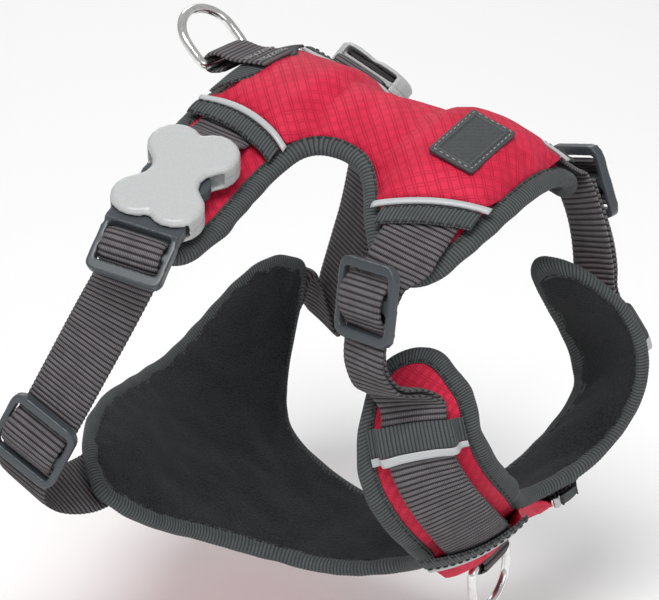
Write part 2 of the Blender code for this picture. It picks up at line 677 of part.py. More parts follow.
# ---- sliders --------------------------------------------------------------------------------
SLIDER = (28.4, 28.0, 4.5)            # width, length, corner radius
SLIDER_LOW = 2.3                      # its underside above the middle of the doubled webbing
SLIDER_THICK = 3.6
SLIDER_WINDOW = (23.4, 8.4, 6.2)      # width, length, distance of its middle from the slider's


def make_slider(name, frame):
    """A frame with a centre bar, and the turn of webbing that grips that bar."""
    width, length, radius = SLIDER
    loops = [rounded_rectangle(width, length, radius)]
    for y in (SLIDER_WINDOW[2], -SLIDER_WINDOW[2]):
        loops.append(rounded_rectangle(SLIDER_WINDOW[0], SLIDER_WINDOW[1], 1.0, y, 1)[::-1])
    outline_prism(name, loops, SLIDER_LOW, SLIDER_LOW + SLIDER_THICK, "plug", frame)
    low, top = SLIDER_LOW + 1.0, SLIDER_LOW + SLIDER_THICK + 0.4 + WEB_THICK / 2
    half = [(1.6, top + 0.3), (4.0, top - 0.3), (6.6, low + 1.4), (8.6, low)]
    arch = [(-y, z) for y, z in half[::-1]] + half
    across = frame_axis(frame, 0)
    band(name + "_webbing", [flat_row(apply_frame(frame, (0, y, z)), across)[::2] for y, z in arch])


# ---- straps ---------------------------------------------------------------------------------
LAYER = LAYER_STEP / 2                # middle of the doubled webbing to the middle of one layer
SLIDER_CLEAR = SLIDER[1] / 2 + 2.5    # straight run on each side of a slider
# body points of the sliders, and the directions of the webbing's width there
GIRTH_SLIDER = {"right": (-26, -107, -101), "left": (-30, 83, -112)}
GIRTH_WIDTH = {"right": (0.92, 0.12, -0.36), "left": (0.91, -0.34, -0.25)}
NECK_SLIDER = {"right": (87, -63, -36), "left": (93, 57, -32)}
ARM_CONTACT = {"right": 103, "left": 98}         # where the neck webbing reaches the chest panel's arm
NECK_LEAVE = {"right": 56, "left": 50}            # where it leaves the back panel's wing
NECK_STRAIGHT = SLIDER[1] / 2 + 11.0              # straight run below a neck slider
NECK_DOWN = {"right": (0.05, -0.23, -0.97), "left": (0.32, 0.05, -0.94)}
NECK_WIDTH = {"right": (0.91, -0.20, 0.37), "left": (0.93, -0.30, 0.10)}


def direction(v):
    """World direction of a (forward, sideways, up) direction."""
    return unit(body_point(*v) - body_point(0, 0, 0))


def outward_frame(centre, down, width_direction, inside_point):
    """Unit vectors across the webbing, down along it, and out of the dog."""
    down = unit(down)
    across = unit(width_direction - down * np.dot(width_direction, down))
    out = np.cross(across, down)
    if np.dot(out, centre - inside_point) < 0:
        across, out = -across, -out
    return across, down, out


def make_girth_strap(name, side, plug_frame):
    """Webbing doubled between the plug and the slider, then one layer to the belly pocket."""
    bar = apply_frame(plug_frame, (0, BAR_Y, -STRAP_DROP))
    centre = body_point(*GIRTH_SLIDER[name])
    belly = body_point(0, 0, -60)
    across, down, out = outward_frame(centre, centre - bar, direction(GIRTH_WIDTH[name]), belly)
    plug_across = frame_axis(plug_frame, 0)
    plug_across *= math.copysign(1, np.dot(plug_across, across))
    length = np.linalg.norm(centre - bar)
    twist_end = 0.6
    run = [(smooth_step(f, 0.0, twist_end), bar + down * length * f) for f in np.linspace(0, 1, 8)]
    rows = [flat_row(p + out * LAYER, plug_across * w + across * (1 - w)) for w, p in run[::-1]]
    rows.append(flat_row(bar - down, plug_across))
    rows += [flat_row(p - out * LAYER, plug_across * w + across * (1 - w)) for w, p in run]
    rows.append(flat_row(centre - out * LAYER + down * SLIDER_CLEAR, across))
    inward_heading = -CHEST.axes((BELLY_S, side * 82))[1][0] * side
    lying = []
    for t in (81, 74, 66, 58, 50, 41, 32, 23):
        heading = -CHEST.axes((BELLY_S, side * t))[1][0] * side
        height = LOW_H + (OVER_BINDING + 0.6 - LOW_H) * float(1 - smooth_step(t, 62, 76))
        lying.append(draped_row(CHEST, (BELLY_S, side * t), heading, height))
    rows += bend(rows[-1], down, lying[0], inward_heading, 6, 1.5) + lying
    band(name + "_girth_strap", rows)
    return frame_of(centre, across, down)


def make_neck_strap(name, side):
    """Two layers of webbing from the slider to the chest; the lower one comes from the back."""
    centre = body_point(*NECK_SLIDER[name])
    station = ARM_S[name]
    first_t = ARM_CONTACT[name]
    inner = body_point(60, 0, -60)
    across, down, out = outward_frame(centre, direction(NECK_DOWN[name]), direction(NECK_WIDTH[name]), inner)
    rows = []
    for t in [t for t in (3, 14, 25, 35, 43, 50, 56) if t <= NECK_LEAVE[name]]:
        heading = BACK.axes((NECK_S, side * t))[1][0] * side
        height = NECK_LOW_H + (OVER_BINDING + 0.8 - NECK_LOW_H) * float(1 - smooth_step(t, 42, 51))
        rows.append(draped_row(BACK, (NECK_S, side * t), heading, height))
    at_slider = [flat_row(centre + down * d - out * LAYER, across) for d in (-3, NECK_STRAIGHT)]
    rows += bend(rows[-1], heading, at_slider[0], down, 3) + at_slider
    stops = [first_t] + [t for t in (95, 87, 78, 69, 60, 51, 42, 33, 24) if t < first_t - 4]
    arm = [(t, arm_heading(side, t, station), arm_height(t)) for t in stops]
    lying = [draped_row(CHEST, (station, side * t), heading, height) for t, heading, height in arm]
    rows = aligned(rows + bend(rows[-1], down, lying[0], arm[0][1], 2) + lying)
    band(name + "_neck_strap_upper", rows)
    straight_end = rows[-len(lying) - 3]
    first = straight_end - down * (NECK_STRAIGHT + 2)
    doubled = np.concatenate([[first], rows[-len(lying) - 3:]])
    band(name + "_neck_strap_lower", offset_rows(doubled, LAYER_STEP, out))
    return frame_of(centre, across, down)


def make_plug_webbing(name, plug_frame):
    """The turn of the strap round the plug's bar; it travels with the plug."""
    path = [(12.4, -2.9), (11.6, -1.0), (10.1, 2.5), (7.8, 3.1), (5.5, 2.5), (4.3, -1.0), (3.9, -2.9)]
    across = frame_axis(plug_frame, 0)
    band(name + "_plug_webbing",
         [flat_row(apply_frame(plug_frame, (0, y, z)), across)[::2] for y, z in path])


def make_girth_webbing(frames):
    """One band of webbing over the back, its ends turned round the bars inside the sockets."""
    turned = [(-19.5, 7.5), (-16.6, 7.4), (-15.4, 5.2), (-16.8, 2.8), (-20.5, 2.8), (-25.0, 3.2)]
    halves = []
    for name, side in SIDES:
        frame = frames[name]
        across = frame_axis(frame, 0)
        rows = [flat_row(apply_frame(frame, (0, y, z)), across) for y, z in turned]
        lying = []
        for t in (39, 32, 24, 16, 8):
            p = (GIRTH_S, side * t)
            lying.append(draped_row(BACK, p, BACK.axes(p)[1][0], LOW_H))
        outward = BACK.axes((GIRTH_S, side * 39))[1][0] * side
        rows += bend(rows[-1], -frame_axis(frame, 1), lying[0], -outward, 2)
        halves.append(rows + lying)
    middle = draped_row(BACK, (GIRTH_S, 0), BACK.axes((GIRTH_S, 0))[1][0], LOW_H)
    band("girth_webbing", halves[0] + [middle] + halves[1][::-1])


# ---- rings, tabs, badge ---------------------------------------------------------------------
TAB_WIDTH = RING_WIDTH - 8
TAB_RADIUS = RING_WIRE + 0.7 + WEB_THICK / 2      # webbing's middle to the ring's bar
TAB_CLEARANCE = 0.9                                 # chest tab over the middle of the cover
CHEST_RING_S = 160.0
LEASH_BAR = (-22.0, -0.5, 10.5)       # body point of the middle of the leash ring's bar


def make_ring(name, frame):
    """A D ring: the origin is the middle of its straight bar, the bow points along +y."""
    half, straight = RING_WIDTH / 2, RING_LENGTH - RING_WIDTH / 2 + RING_WIRE
    path = [(-half + 3, 0), (half - 3, 0), (half - 0.8, 0.8), (half, 3), (half, straight * 0.6)]
    path += [(half * math.cos(a), straight + half * 0.9 * math.sin(a)) for a in np.linspace(0, math.pi, 11)]
    path += [(-half, straight * 0.6), (-half, 3), (-half + 0.8, 0.8)]
    curve = bpy.data.curves.new(name, "CURVE")
    curve.dimensions, curve.bevel_depth, curve.bevel_resolution = "3D", RING_WIRE * MM, 2
    spline = curve.splines.new("POLY")
    spline.points.add(len(path) - 1)
    for point, (x, y) in zip(spline.points, path):
        point.co = (x * MM, y * MM, 0, 1)
    spline.use_cyclic_u = True
    return link(name, curve, "steel", frame)


def make_tab(name, across, path):
    """A folded webbing tab round a ring's bar, through world points."""
    band(name, [flat_row(p, across, TAB_WIDTH)[::2] for p in path])


def make_leash_ring():
    bar = body_point(*LEASH_BAR)
    stitched = PATCH_H + SKIN / 2 + 0.6 + WEB_THICK / 2
    upper = [BACK.at((s, 0), stitched)[0] for s in (17, 11, 5)]
    across = np.array([1.0, 0, 0])
    toward = unit((upper[-1] - bar) * [0, 1, 1])
    out = np.cross(across, toward)
    out *= math.copysign(1, out[2])
    turn = [bar + (out * math.cos(a) - toward * math.sin(a)) * TAB_RADIUS
            for a in np.linspace(0, math.pi, 7)]
    lower = [bar + toward * 5 - out * TAB_RADIUS]
    make_tab("leash_ring_tab", across, upper + turn + lower)
    rise = math.radians(45)
    bow = -direction((1, 0, 0)) * math.cos(rise) + np.array([0, 0, 1.0]) * math.sin(rise)
    make_ring("leash_ring", frame_of(bar, across, bow))


def make_chest_ring():
    along, across, out = (v[0] for v in CHEST.axes((CHEST_RING_S, 0)))
    stitched = TOP_H + SKIN + LAYER_GAP + WEB_THICK / 2 + TAB_CLEARANCE

    def on_cover(s):
        p = np.array([[s, 0.0]])
        return CHEST.at(p, stitched + chest_lift(p))[0]

    bar = on_cover(CHEST_RING_S) + out * (TAB_RADIUS + 1.2)
    turn = [bar + (along * math.cos(a) + out * math.sin(a)) * TAB_RADIUS
            for a in np.linspace(-0.5, math.pi + 0.5, 9)]
    front = [on_cover(CHEST_RING_S + d) for d in (14, 7)]
    rear = [on_cover(CHEST_RING_S - d) for d in (7, 14)]
    make_tab("chest_ring_tab", across, front + turn + rear)
    down = np.array([0, 0, -1.0])
    make_ring("chest_ring", frame_of(bar, across, down - across * np.dot(down, across)))


BADGE_S, BADGE_T = 96.0, -7.0
BADGE = (30.0, 18.0, 1.5, 1.6)        # width, length, corner radius, thickness


def make_badge():
    """A stiff moulded badge stitched over the neck webbing; its top is flat."""
    p = (BADGE_S, BADGE_T)
    along, across, normal = (v[0] for v in BACK.axes(p))
    frame = frame_of(BACK.at(p, TOP_H + NECK_LIFT + SKIN + 0.9)[0], across, np.cross(normal, across))
    width, length, radius, thickness = BADGE
    outline_prism("badge", [rounded_rectangle(width, length, radius, 0, 2)], 0, thickness, "rubber", frame)


def make_all():
    make_back_panel()
    make_chest_panel()
    sockets = {}
    for name, side in SIDES:
        sockets[name] = socket_frame(name, side)
        make_socket(name, sockets[name])
        make_plug(name, sockets[name])
        plug_frame = strap_frame(sockets[name])
        make_plug_webbing(name, plug_frame)
        make_slider(name + "_girth_slider", make_girth_strap(name, side, plug_frame))
        make_slider(name + "_neck_slider", make_neck_strap(name, side))
    make_girth_webbing(sockets)
    make_leash_ring()
    make_chest_ring()
    make_badge()


make_all()
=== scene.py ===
"""No pull dog harness: cloth, webbing, stitching and hardware surfaces over the fixed frame.

The pattern outlines and the way they drape are the ones of the model's own source, so each
piece lies where its plain solid lies.  The script works in millimetres and writes metres."""
import json
import math

import bpy
import numpy as np
from mathutils import Matrix, Vector, noise
from mathutils.geometry import delaunay_2d_cdt

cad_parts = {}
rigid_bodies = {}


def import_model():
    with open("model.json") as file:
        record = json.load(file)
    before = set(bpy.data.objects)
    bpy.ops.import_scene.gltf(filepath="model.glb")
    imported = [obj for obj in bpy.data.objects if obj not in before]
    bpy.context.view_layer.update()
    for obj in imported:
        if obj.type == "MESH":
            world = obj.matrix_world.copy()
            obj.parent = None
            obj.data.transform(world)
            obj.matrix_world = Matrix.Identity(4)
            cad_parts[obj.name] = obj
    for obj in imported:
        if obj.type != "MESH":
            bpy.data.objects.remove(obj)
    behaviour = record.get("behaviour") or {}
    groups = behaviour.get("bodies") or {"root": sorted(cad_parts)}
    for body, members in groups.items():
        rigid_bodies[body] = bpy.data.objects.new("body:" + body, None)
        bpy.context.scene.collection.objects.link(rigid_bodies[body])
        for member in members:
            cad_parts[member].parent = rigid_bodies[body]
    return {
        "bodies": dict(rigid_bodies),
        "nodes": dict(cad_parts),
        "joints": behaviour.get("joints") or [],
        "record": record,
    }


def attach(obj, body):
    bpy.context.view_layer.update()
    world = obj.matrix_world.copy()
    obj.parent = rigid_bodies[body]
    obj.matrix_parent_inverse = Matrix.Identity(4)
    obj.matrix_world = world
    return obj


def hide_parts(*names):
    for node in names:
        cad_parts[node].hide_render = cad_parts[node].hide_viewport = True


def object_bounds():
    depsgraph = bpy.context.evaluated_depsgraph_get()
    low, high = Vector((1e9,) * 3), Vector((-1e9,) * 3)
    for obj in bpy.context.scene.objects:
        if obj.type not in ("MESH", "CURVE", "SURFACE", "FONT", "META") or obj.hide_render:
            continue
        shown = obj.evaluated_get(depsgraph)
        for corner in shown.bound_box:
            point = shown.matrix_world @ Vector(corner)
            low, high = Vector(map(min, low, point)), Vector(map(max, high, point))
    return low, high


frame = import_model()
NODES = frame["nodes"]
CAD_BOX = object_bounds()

MM = 0.001
WITHERS = (0.0, 40.0, 65.0)          # world place of the body point (0, 0, 0)

# ---- driving sizes, millimetres ----------------------------------------------------------
WEB_WIDTH, WEB_THICK = 22.0, 1.5     # nylon webbing
LAYER_STEP = WEB_THICK + 0.5         # from one layer of webbing to the next
GAP = 0.3                            # air between touching pieces
MOUTH_GAP = 0.5                      # air between a cover, its piping and its tape
LAYER_GAP = 1.0                      # air between a panel and what lies on it
EDGE_GAP = 1.2                       # air between a panel's edge and the binding round it
SKIN = 0.7                           # ripstop and lining cloth
FOAM_HALF = 0.9                      # half of the foam pad
BASE_H = FOAM_HALF + GAP             # height of the ripstop's underside
BINDING_REACH = 6.0                  # how far the edge binding covers the panel
BINDING_H = 3.3                      # half of the binding's height
BINDING_WEB = 0.8
TOP_H = BASE_H + SKIN + LAYER_GAP    # height of what lies on the ripstop
POCKET_BAND, PIPING_BAND = 7.5, 2.6  # grosgrain along a pocket mouth, piping beside it
RING_WIRE = 1.75                     # radius of the D ring's wire
RING_WIDTH, RING_LENGTH = 26.0, 21.0

# ---- how the flat patterns drape over the dog --------------------------------------------
# Rows are pattern stations from the rear edge, columns go from the right side to the left.  The
# points are the rounded result of a least-squares fit, some of them corrected.
BACK_STEP = (30.0, 40.0)
BACK_NET = [
    [(-13, -116, -26), (-13, -79, -14), (-13, -41, -1), (-14, -2, 5),
     (-15, 37, 0), (-19, 67, -27), (-23, 95, -55)],
    [(17, -114, -27), (17, -75, -18), (16, -40, -6), (17, -2, 7),
     (16, 35, -9), (13, 65, -36), (9, 93, -63)],
    [(47, -108, -46), (48, -72, -28), (48, -37, -12), (48, -1, 4),
     (48, 34, -14), (48, 62, -40), (48, 89, -68)],
    [(78, -99, -61), (78, -69, -39), (80, -38, -16), (80, 0, -1),
     (79, 37, -16), (79, 63, -44), (78, 85, -75)],
    [(106, -84, -74), (110, -60, -50), (112, -34, -25), (112, 1, -14),
     (109, 36, -24), (107, 58, -51), (104, 75, -81)],
]
CHEST_STEP = (32.0, 40.0)
CHEST_NET = [
    [(-35, -113, -105), (-46, -75, -113), (-55, -37, -120), (-61, 3, -124),
     (-65, 43, -116), (-67, 76, -90), (-65, 103, -61)],
    [(-18, -115, -123), (-23, -78, -130), (-29, -40, -137), (-33, -4, -142),
     (-38, 36, -129), (-39, 68, -105), (-39, 95, -74)],
    [(8, -112, -141), (2, -79, -150), (-2, -42, -153), (-4, -9, -155),
     (-17, 21, -145), (-27, 53, -124), (-30, 84, -100)],
    [(34, -101, -127), (29, -78, -156), (28, -41, -165), (27, -6, -165),
     (1, 24, -154), (-3, 55, -136), (3, 87, -111)],
    [(58, -73, -90), (60, -70, -134), (61, -37, -162), (58, -4, -163),
     (49, 29, -159), (56, 63, -136), (51, 77, -98)],
    [(82, -52, -67), (92, -58, -103), (96, -35, -137), (88, 1, -151),
     (96, 40, -132), (105, 61, -102), (88, 39, -63)],
    [(107, -31, -59), (117, -42, -85), (119, -22, -111), (111, 1, -129),
     (121, 42, -124), (125, 56, -90), (109, 43, -52)],
]
# ---- half outlines of the flat patterns: (from the rear edge, sideways) ------------------
BACK_HALF = [(0, 0), (0, 22), (1, 48), (6, 74), (14, 91), (24, 101), (34, 104), (41, 99),
             (43.5, 86), (43.5, 67), (44, 46), (49, 31), (59, 28), (69, 32), (78, 44),
             (87, 56), (96, 63), (106, 61), (112, 51), (116, 37), (118.5, 20), (119, 0)]
CHEST_HALF = [(0, 0), (0, 28), (3, 50), (10, 67), (18, 77), (28, 84), (37, 86), (47, 80),
              (57, 70), (75, 50), (100, 34), (124, 28), (138, 27), (148, 34), (151, 50),
              (150, 86), (151, 102), (154, 113), (160, 121), (168, 124), (177, 122),
              (184, 115), (189, 105), (192, 95), (192, 75), (191, 50), (192, 25), (192, 0)]
SIDES = (("right", -1), ("left", 1))  # the dog's right and left
# stations of the webbing, counted from the rear edge of each pattern
GIRTH_S, NECK_S, BELLY_S = 20.0, 99.0, 29.0
ARM_S = {"right": 171.0, "left": 167.0}
# ---- sizes of what is seen ---------------------------------------------------------------
CLOTH_SPACING, FOAM_SPACING = 3.2, 8.0   # mesh sizes of the visible cloth and the foam
EDGE_SPACING = 2.0                   # mesh size along the panels' edges
RIB, TAPE_RIB = 2.1, 1.3             # pitch of the ribs of the webbing and of the grosgrain
RIPSTOP_CELL = 3.4                   # pitch of the ripstop's double threads
STITCH, STITCH_PITCH, THREAD = 2.4, 3.4, 0.36    # length, distance and radius of a stitch
PUFF, SEAM_REACH = 1.1, 7.0          # swell of the padding between seams, and how fast it rises
PUCKER, PUCKER_PITCH = 0.38, 1.9     # height of the puckers at a seam, and their pitch over 2 pi
LARGE_FOLD, SMALL_FOLD = (0.5, 26), (0.18, 9)    # height and size of the cloth's soft folds
SIM_SCALE, SIM_FRAMES = 10.0, 18     # the simulation runs enlarged, for that many frames
SIM_SHARE = 0.6                      # share of the padding's swell that the simulation starts from
SIM_PIN = 2.0                        # width of the pinned strip along the seam
SIM_RANGE = (-0.4, 1.8)              # how far the simulation may move the cloth
COVER_SEAM_H = 2.0                   # height of the cover where it goes under the binding

# ---- curves and surfaces -----------------------------------------------------------------
def natural_spline(points, x):
    """Values of the natural cubic spline through points at 0, 1, 2 ..., straight past its ends."""
    p = np.asarray(points, float)
    n = len(p)
    matrix, right = np.eye(n), np.zeros_like(p)
    for i in range(1, n - 1):
        matrix[i, i - 1:i + 2] = 1, 4, 1
        right[i] = 6 * (p[i - 1] - 2 * p[i] + p[i + 1])
    m = np.linalg.solve(matrix, right.reshape(n, -1)).reshape(p.shape)
    x = np.asarray(x, float)
    inner = np.clip(x, 0, n - 1)
    i = np.minimum(inner.astype(int), n - 2)
    shape = (-1,) + (1,) * (p.ndim - 1)
    f = (inner - i).reshape(shape)
    value = p[i] * (1 - f) + p[i + 1] * f + m[i] * ((1 - f) ** 3 - (1 - f)) / 6 + m[i + 1] * (f ** 3 - f) / 6
    slope_low = p[1] - p[0] - m[1] / 6
    slope_high = p[-1] - p[-2] + m[-2] / 6
    before, after = np.minimum(x, 0).reshape(shape), np.maximum(x - n + 1, 0).reshape(shape)
    return value + before * slope_low + after * slope_high


def body_point(forward, sideways, up):
    return np.array([WITHERS[0] + sideways, WITHERS[1] - forward, WITHERS[2] + up])


class Drape:
    """Maps pattern points (station, sideways) and a height above the cloth to the world."""

    def __init__(self, net, step, outward):
        self.net = np.array([[body_point(*p) for p in row] for row in net])
        self.step, self.outward = step, outward

    def surface(self, p):
        p = np.atleast_2d(np.asarray(p, float))
        rows, cols = self.net.shape[:2]
        row_weights = natural_spline(np.eye(rows), p[:, 0] / self.step[0])
        col_weights = natural_spline(np.eye(cols), p[:, 1] / self.step[1] + (cols - 1) / 2)
        return np.einsum("ni,nj,ijk->nk", row_weights, col_weights, self.net)

    def axes(self, p):
        """Unit vectors along the pattern's station, along its side, and out of the cloth."""
        p = np.atleast_2d(np.asarray(p, float))
        h = 0.5
        along = self.surface(p + [h, 0]) - self.surface(p - [h, 0])
        across = self.surface(p + [0, h]) - self.surface(p - [0, h])
        normal = np.cross(along, across) * self.outward
        return [normalised(v) for v in (along, across, normal)]

    def at(self, p, height=0.0):
        normal = self.axes(p)[2]
        return self.surface(p) + normal * np.broadcast_to(height, len(normal))[:, None]

    def step_to(self, p, move):
        """Pattern point reached from p by a short move along the cloth, in world millimetres."""
        p, h = np.asarray(p, float), 0.5
        jacobian = np.stack([(self.surface(p + d) - self.surface(p - d))[0] for d in np.eye(2) * h], 1)
        return p + np.linalg.lstsq(jacobian, move, rcond=None)[0]


BACK = Drape(BACK_NET, BACK_STEP, 1)
CHEST = Drape(CHEST_NET, CHEST_STEP, -1)


def lengths(line):
    """Length along a line of points, up to each point."""
    return np.concatenate([[0], np.cumsum(np.linalg.norm(np.diff(line, axis=0), axis=1))])


def normalised(vectors):
    """The vectors of an array, each made one long."""
    return vectors / np.linalg.norm(vectors, axis=-1, keepdims=True)


def outline(half, spacing):
    """Closed symmetric outline, evenly spaced, counter-clockwise in (station, sideways)."""
    h = natural_spline(half, np.linspace(0, len(half) - 1, 400))
    loop = np.concatenate([h, (h * [1, -1])[::-1][1:-1]])
    return even(loop, spacing)


def even(loop, spacing):
    closed = np.vstack([loop, loop[:1]])
    length = lengths(closed)
    count = int(round(length[-1] / spacing))
    at = np.arange(count) * length[-1] / count
    loop = np.stack([np.interp(at, length, closed[:, k]) for k in (0, 1)], 1)
    x, y = loop.T
    area = (x * np.roll(y, -1) - y * np.roll(x, -1)).sum()
    return loop if area > 0 else loop[::-1]


def inward(loop):
    tangent = normalised(np.roll(loop, -1, 0) - np.roll(loop, 1, 0))
    return np.stack([-tangent[:, 1], tangent[:, 0]], 1)


def inset(loop, distance):
    return loop + inward(loop) * distance


def inside(loop, p):
    """True for each point of p that lies inside the loop."""
    p = np.atleast_2d(p)
    a, b = loop, np.roll(loop, -1, 0)
    above = (a[:, 1][None] > p[:, 1][:, None]) != (b[:, 1][None] > p[:, 1][:, None])
    rise = np.where(b[:, 1] == a[:, 1], 1e-9, b[:, 1] - a[:, 1])
    cross = a[:, 0] + (p[:, 1][:, None] - a[:, 1]) * (b[:, 0] - a[:, 0]) / rise
    return (above & (p[:, 0][:, None] < cross)).sum(1) % 2 == 1


def fill(loop, spacing):
    """Triangles over a pattern loop, with a regular grid of points inside it."""
    low, high = loop.min(0), loop.max(0)
    rows = np.arange(low[0], high[0], spacing * 0.87)
    columns = np.arange(low[1], high[1], spacing)
    grid = np.array([(s, t + spacing / 2 * (i % 2)) for i, s in enumerate(rows) for t in columns])
    near_edge = np.linalg.norm(grid[:, None] - loop[None], axis=2).min(1) < spacing * 0.6
    grid = grid[inside(loop, grid) & ~near_edge]
    points = [Vector(p) for p in np.vstack([loop, grid])]
    result = delaunay_2d_cdt(points, [], [list(range(len(loop)))], 1, 1e-6)
    verts, faces = np.array([tuple(v) for v in result[0]]), []
    for face in result[2]:
        a, b, c = (verts[i] for i in face)
        turn = (b[0] - a[0]) * (c[1] - a[1]) - (b[1] - a[1]) * (c[0] - a[0])
        faces.append(tuple(face) if turn > 0 else tuple(face)[::-1])
    return verts, faces


def smooth_step(x, low, high):
    """1 below low, 0 above high, smooth between."""
    f = np.clip((high - np.asarray(x, float)) / (high - low), 0, 1)
    return f * f * (3 - 2 * f)


def aligned(rows):
    """The rows as an array, each one running the same way across as the row before it."""
    rows = np.array(rows, float)
    for a, b in zip(rows, rows[1:]):
        if np.dot(a[-1] - a[0], b[-1] - b[0]) < 0:
            b[:] = b[::-1].copy()
    return rows


def unit(v):
    v = np.asarray(v, float)
    return v / np.linalg.norm(v)


def flat_row(centre, across, width=WEB_WIDTH):
    """Three points across a piece of webbing that hangs free."""
    half = unit(across) * width / 2
    return [centre - half, centre, centre + half]


def draped_row(drape, p, heading, height, offsets=(-WEB_WIDTH / 2, 0, WEB_WIDTH / 2)):
    """Points across a piece of webbing that lies on a panel and runs in a world direction."""
    normal = drape.axes(p)[2][0]
    across = unit(np.cross(normal, heading))
    heights = np.broadcast_to(height, len(offsets))
    return [drape.at(drape.step_to(p, across * k), h)[0] for k, h in zip(offsets, heights)]


def bend(row_a, leave, row_b, arrive, steps, pull=1.0):
    """Rows of a smooth curve between two rows, without the two rows themselves."""
    a, b = np.array(row_a), np.array(row_b)
    if np.dot(a[-1] - a[0], b[-1] - b[0]) < 0:
        b = b[::-1]
    length = np.linalg.norm(a[1] - b[1]) * pull
    rows = []
    for x in np.linspace(0, 1, steps + 2)[1:-1]:
        rows.append(a * (2 * x ** 3 - 3 * x ** 2 + 1) + b * (3 * x ** 2 - 2 * x ** 3)
                    + unit(leave) * length * (x ** 3 - 2 * x ** 2 + x)
                    + unit(arrive) * length * (x ** 3 - x ** 2))
    return [list(row) for row in rows]


def offset_rows(rows, distance, out):
    """The rows moved off their own surface, on the side that out points to at the first row."""
    normal = normalised(np.cross(np.gradient(rows, axis=1), np.gradient(rows, axis=0)))
    return rows + normal * math.copysign(distance, np.dot(normal[0, 1], out))


def frame_of(origin, x, y):
    """Matrix with its origin in metres, x across, y along, z out."""
    y = unit(y)
    x = unit(np.asarray(x, float) - y * np.dot(x, y))
    z = np.cross(x, y)
    matrix = Matrix(np.column_stack([x, y, z]).tolist()).to_4x4()
    matrix.translation = Vector(np.asarray(origin, float) * MM)
    return matrix


def apply_frame(frame, p):
    """World millimetres of a local millimetre point."""
    return np.array(frame @ Vector(np.asarray(p, float) * MM)) / MM


def frame_axis(frame, k):
    return np.array(frame.col[k][:3])


# ---- materials ---------------------------------------------------------------------------
class Nodes:
    """Short forms for building a material's node tree."""

    def __init__(self, name="", roughness=0.5, metallic=0.0, material=None):
        self.material = material or bpy.data.materials.new(name)
        self.material.use_nodes = True
        self.tree = self.material.node_tree
        self.shader = self.tree.nodes["Principled BSDF"]
        if material is None:
            self.shader.inputs["Roughness"].default_value = roughness
            self.shader.inputs["Metallic"].default_value = metallic

    def node(self, kind, **settings):
        made = self.tree.nodes.new(kind)
        for key, value in settings.items():
            setattr(made, key, value)
        return made

    def put(self, socket, value):
        if isinstance(value, bpy.types.NodeSocket):
            self.tree.links.new(value, socket)
        else:
            socket.default_value = value

    def math(self, operation, a, b=0.0):
        made = self.node("ShaderNodeMath", operation=operation)
        self.put(made.inputs[0], a)
        self.put(made.inputs[1], b)
        return made.outputs[0]

    def times(self, a, b):
        return self.math("MULTIPLY", a, b)

    def plus(self, a, b):
        return self.math("ADD", a, b)

    def minus(self, a, b):
        return self.math("SUBTRACT", a, b)

    def uv(self):
        """The surface's own coordinates: millimetres along it and across it."""
        split = self.node("ShaderNodeSeparateXYZ")
        self.put(split.inputs[0], self.node("ShaderNodeUVMap", uv_map="flat").outputs[0])
        return [self.times(split.outputs[k], 1000.0) for k in (0, 1)]

    def wave(self, x, pitch):
        """A smooth wave from 0 to 1, highest at whole multiples of the pitch."""
        turn = self.times(x, 2 * math.pi / pitch)
        return self.times(self.plus(self.math("COSINE", turn), 1.0), 0.5)

    def ramp(self, x, low, high, out_low=0.0, out_high=1.0):
        made = self.node("ShaderNodeMapRange", interpolation_type="SMOOTHSTEP")
        for socket, value in zip(made.inputs[:5], (x, low, high, out_low, out_high)):
            self.put(socket, value)
        return made.outputs[0]

    def noise(self, size, detail=3.0):
        """Noise with features of about that many millimetres, fixed to the object."""
        made = self.node("ShaderNodeTexNoise")
        made.inputs["Scale"].default_value = 1000.0 / size
        made.inputs["Detail"].default_value = detail
        self.put(made.inputs["Vector"], self.node("ShaderNodeTexCoord").outputs["Object"])
        return made.outputs["Fac"]

    def mix(self, factor, a, b):
        made = self.node("ShaderNodeMix", data_type="RGBA")
        self.put(made.inputs["Factor"], factor)
        for socket, colour in zip(("A", "B"), (a, b)):
            target = [s for s in made.inputs if s.name == socket and s.type == "RGBA"][0]
            self.put(target, colour if isinstance(colour, bpy.types.NodeSocket) else (*colour, 1))
        return [s for s in made.outputs if s.type == "RGBA"][0]

    def colour(self, value):
        self.put(self.shader.inputs["Base Color"], value)

    def bump(self, height, distance, strength=1.0):
        """Relief of that many millimetres."""
        made = self.node("ShaderNodeBump")
        made.inputs["Strength"].default_value = strength
        made.inputs["Distance"].default_value = distance * MM
        self.put(made.inputs["Height"], height)
        self.put(self.shader.inputs["Normal"], made.outputs[0])

    def set(self, **values):
        for key, value in values.items():
            self.shader.inputs[key.replace("_", " ")].default_value = value


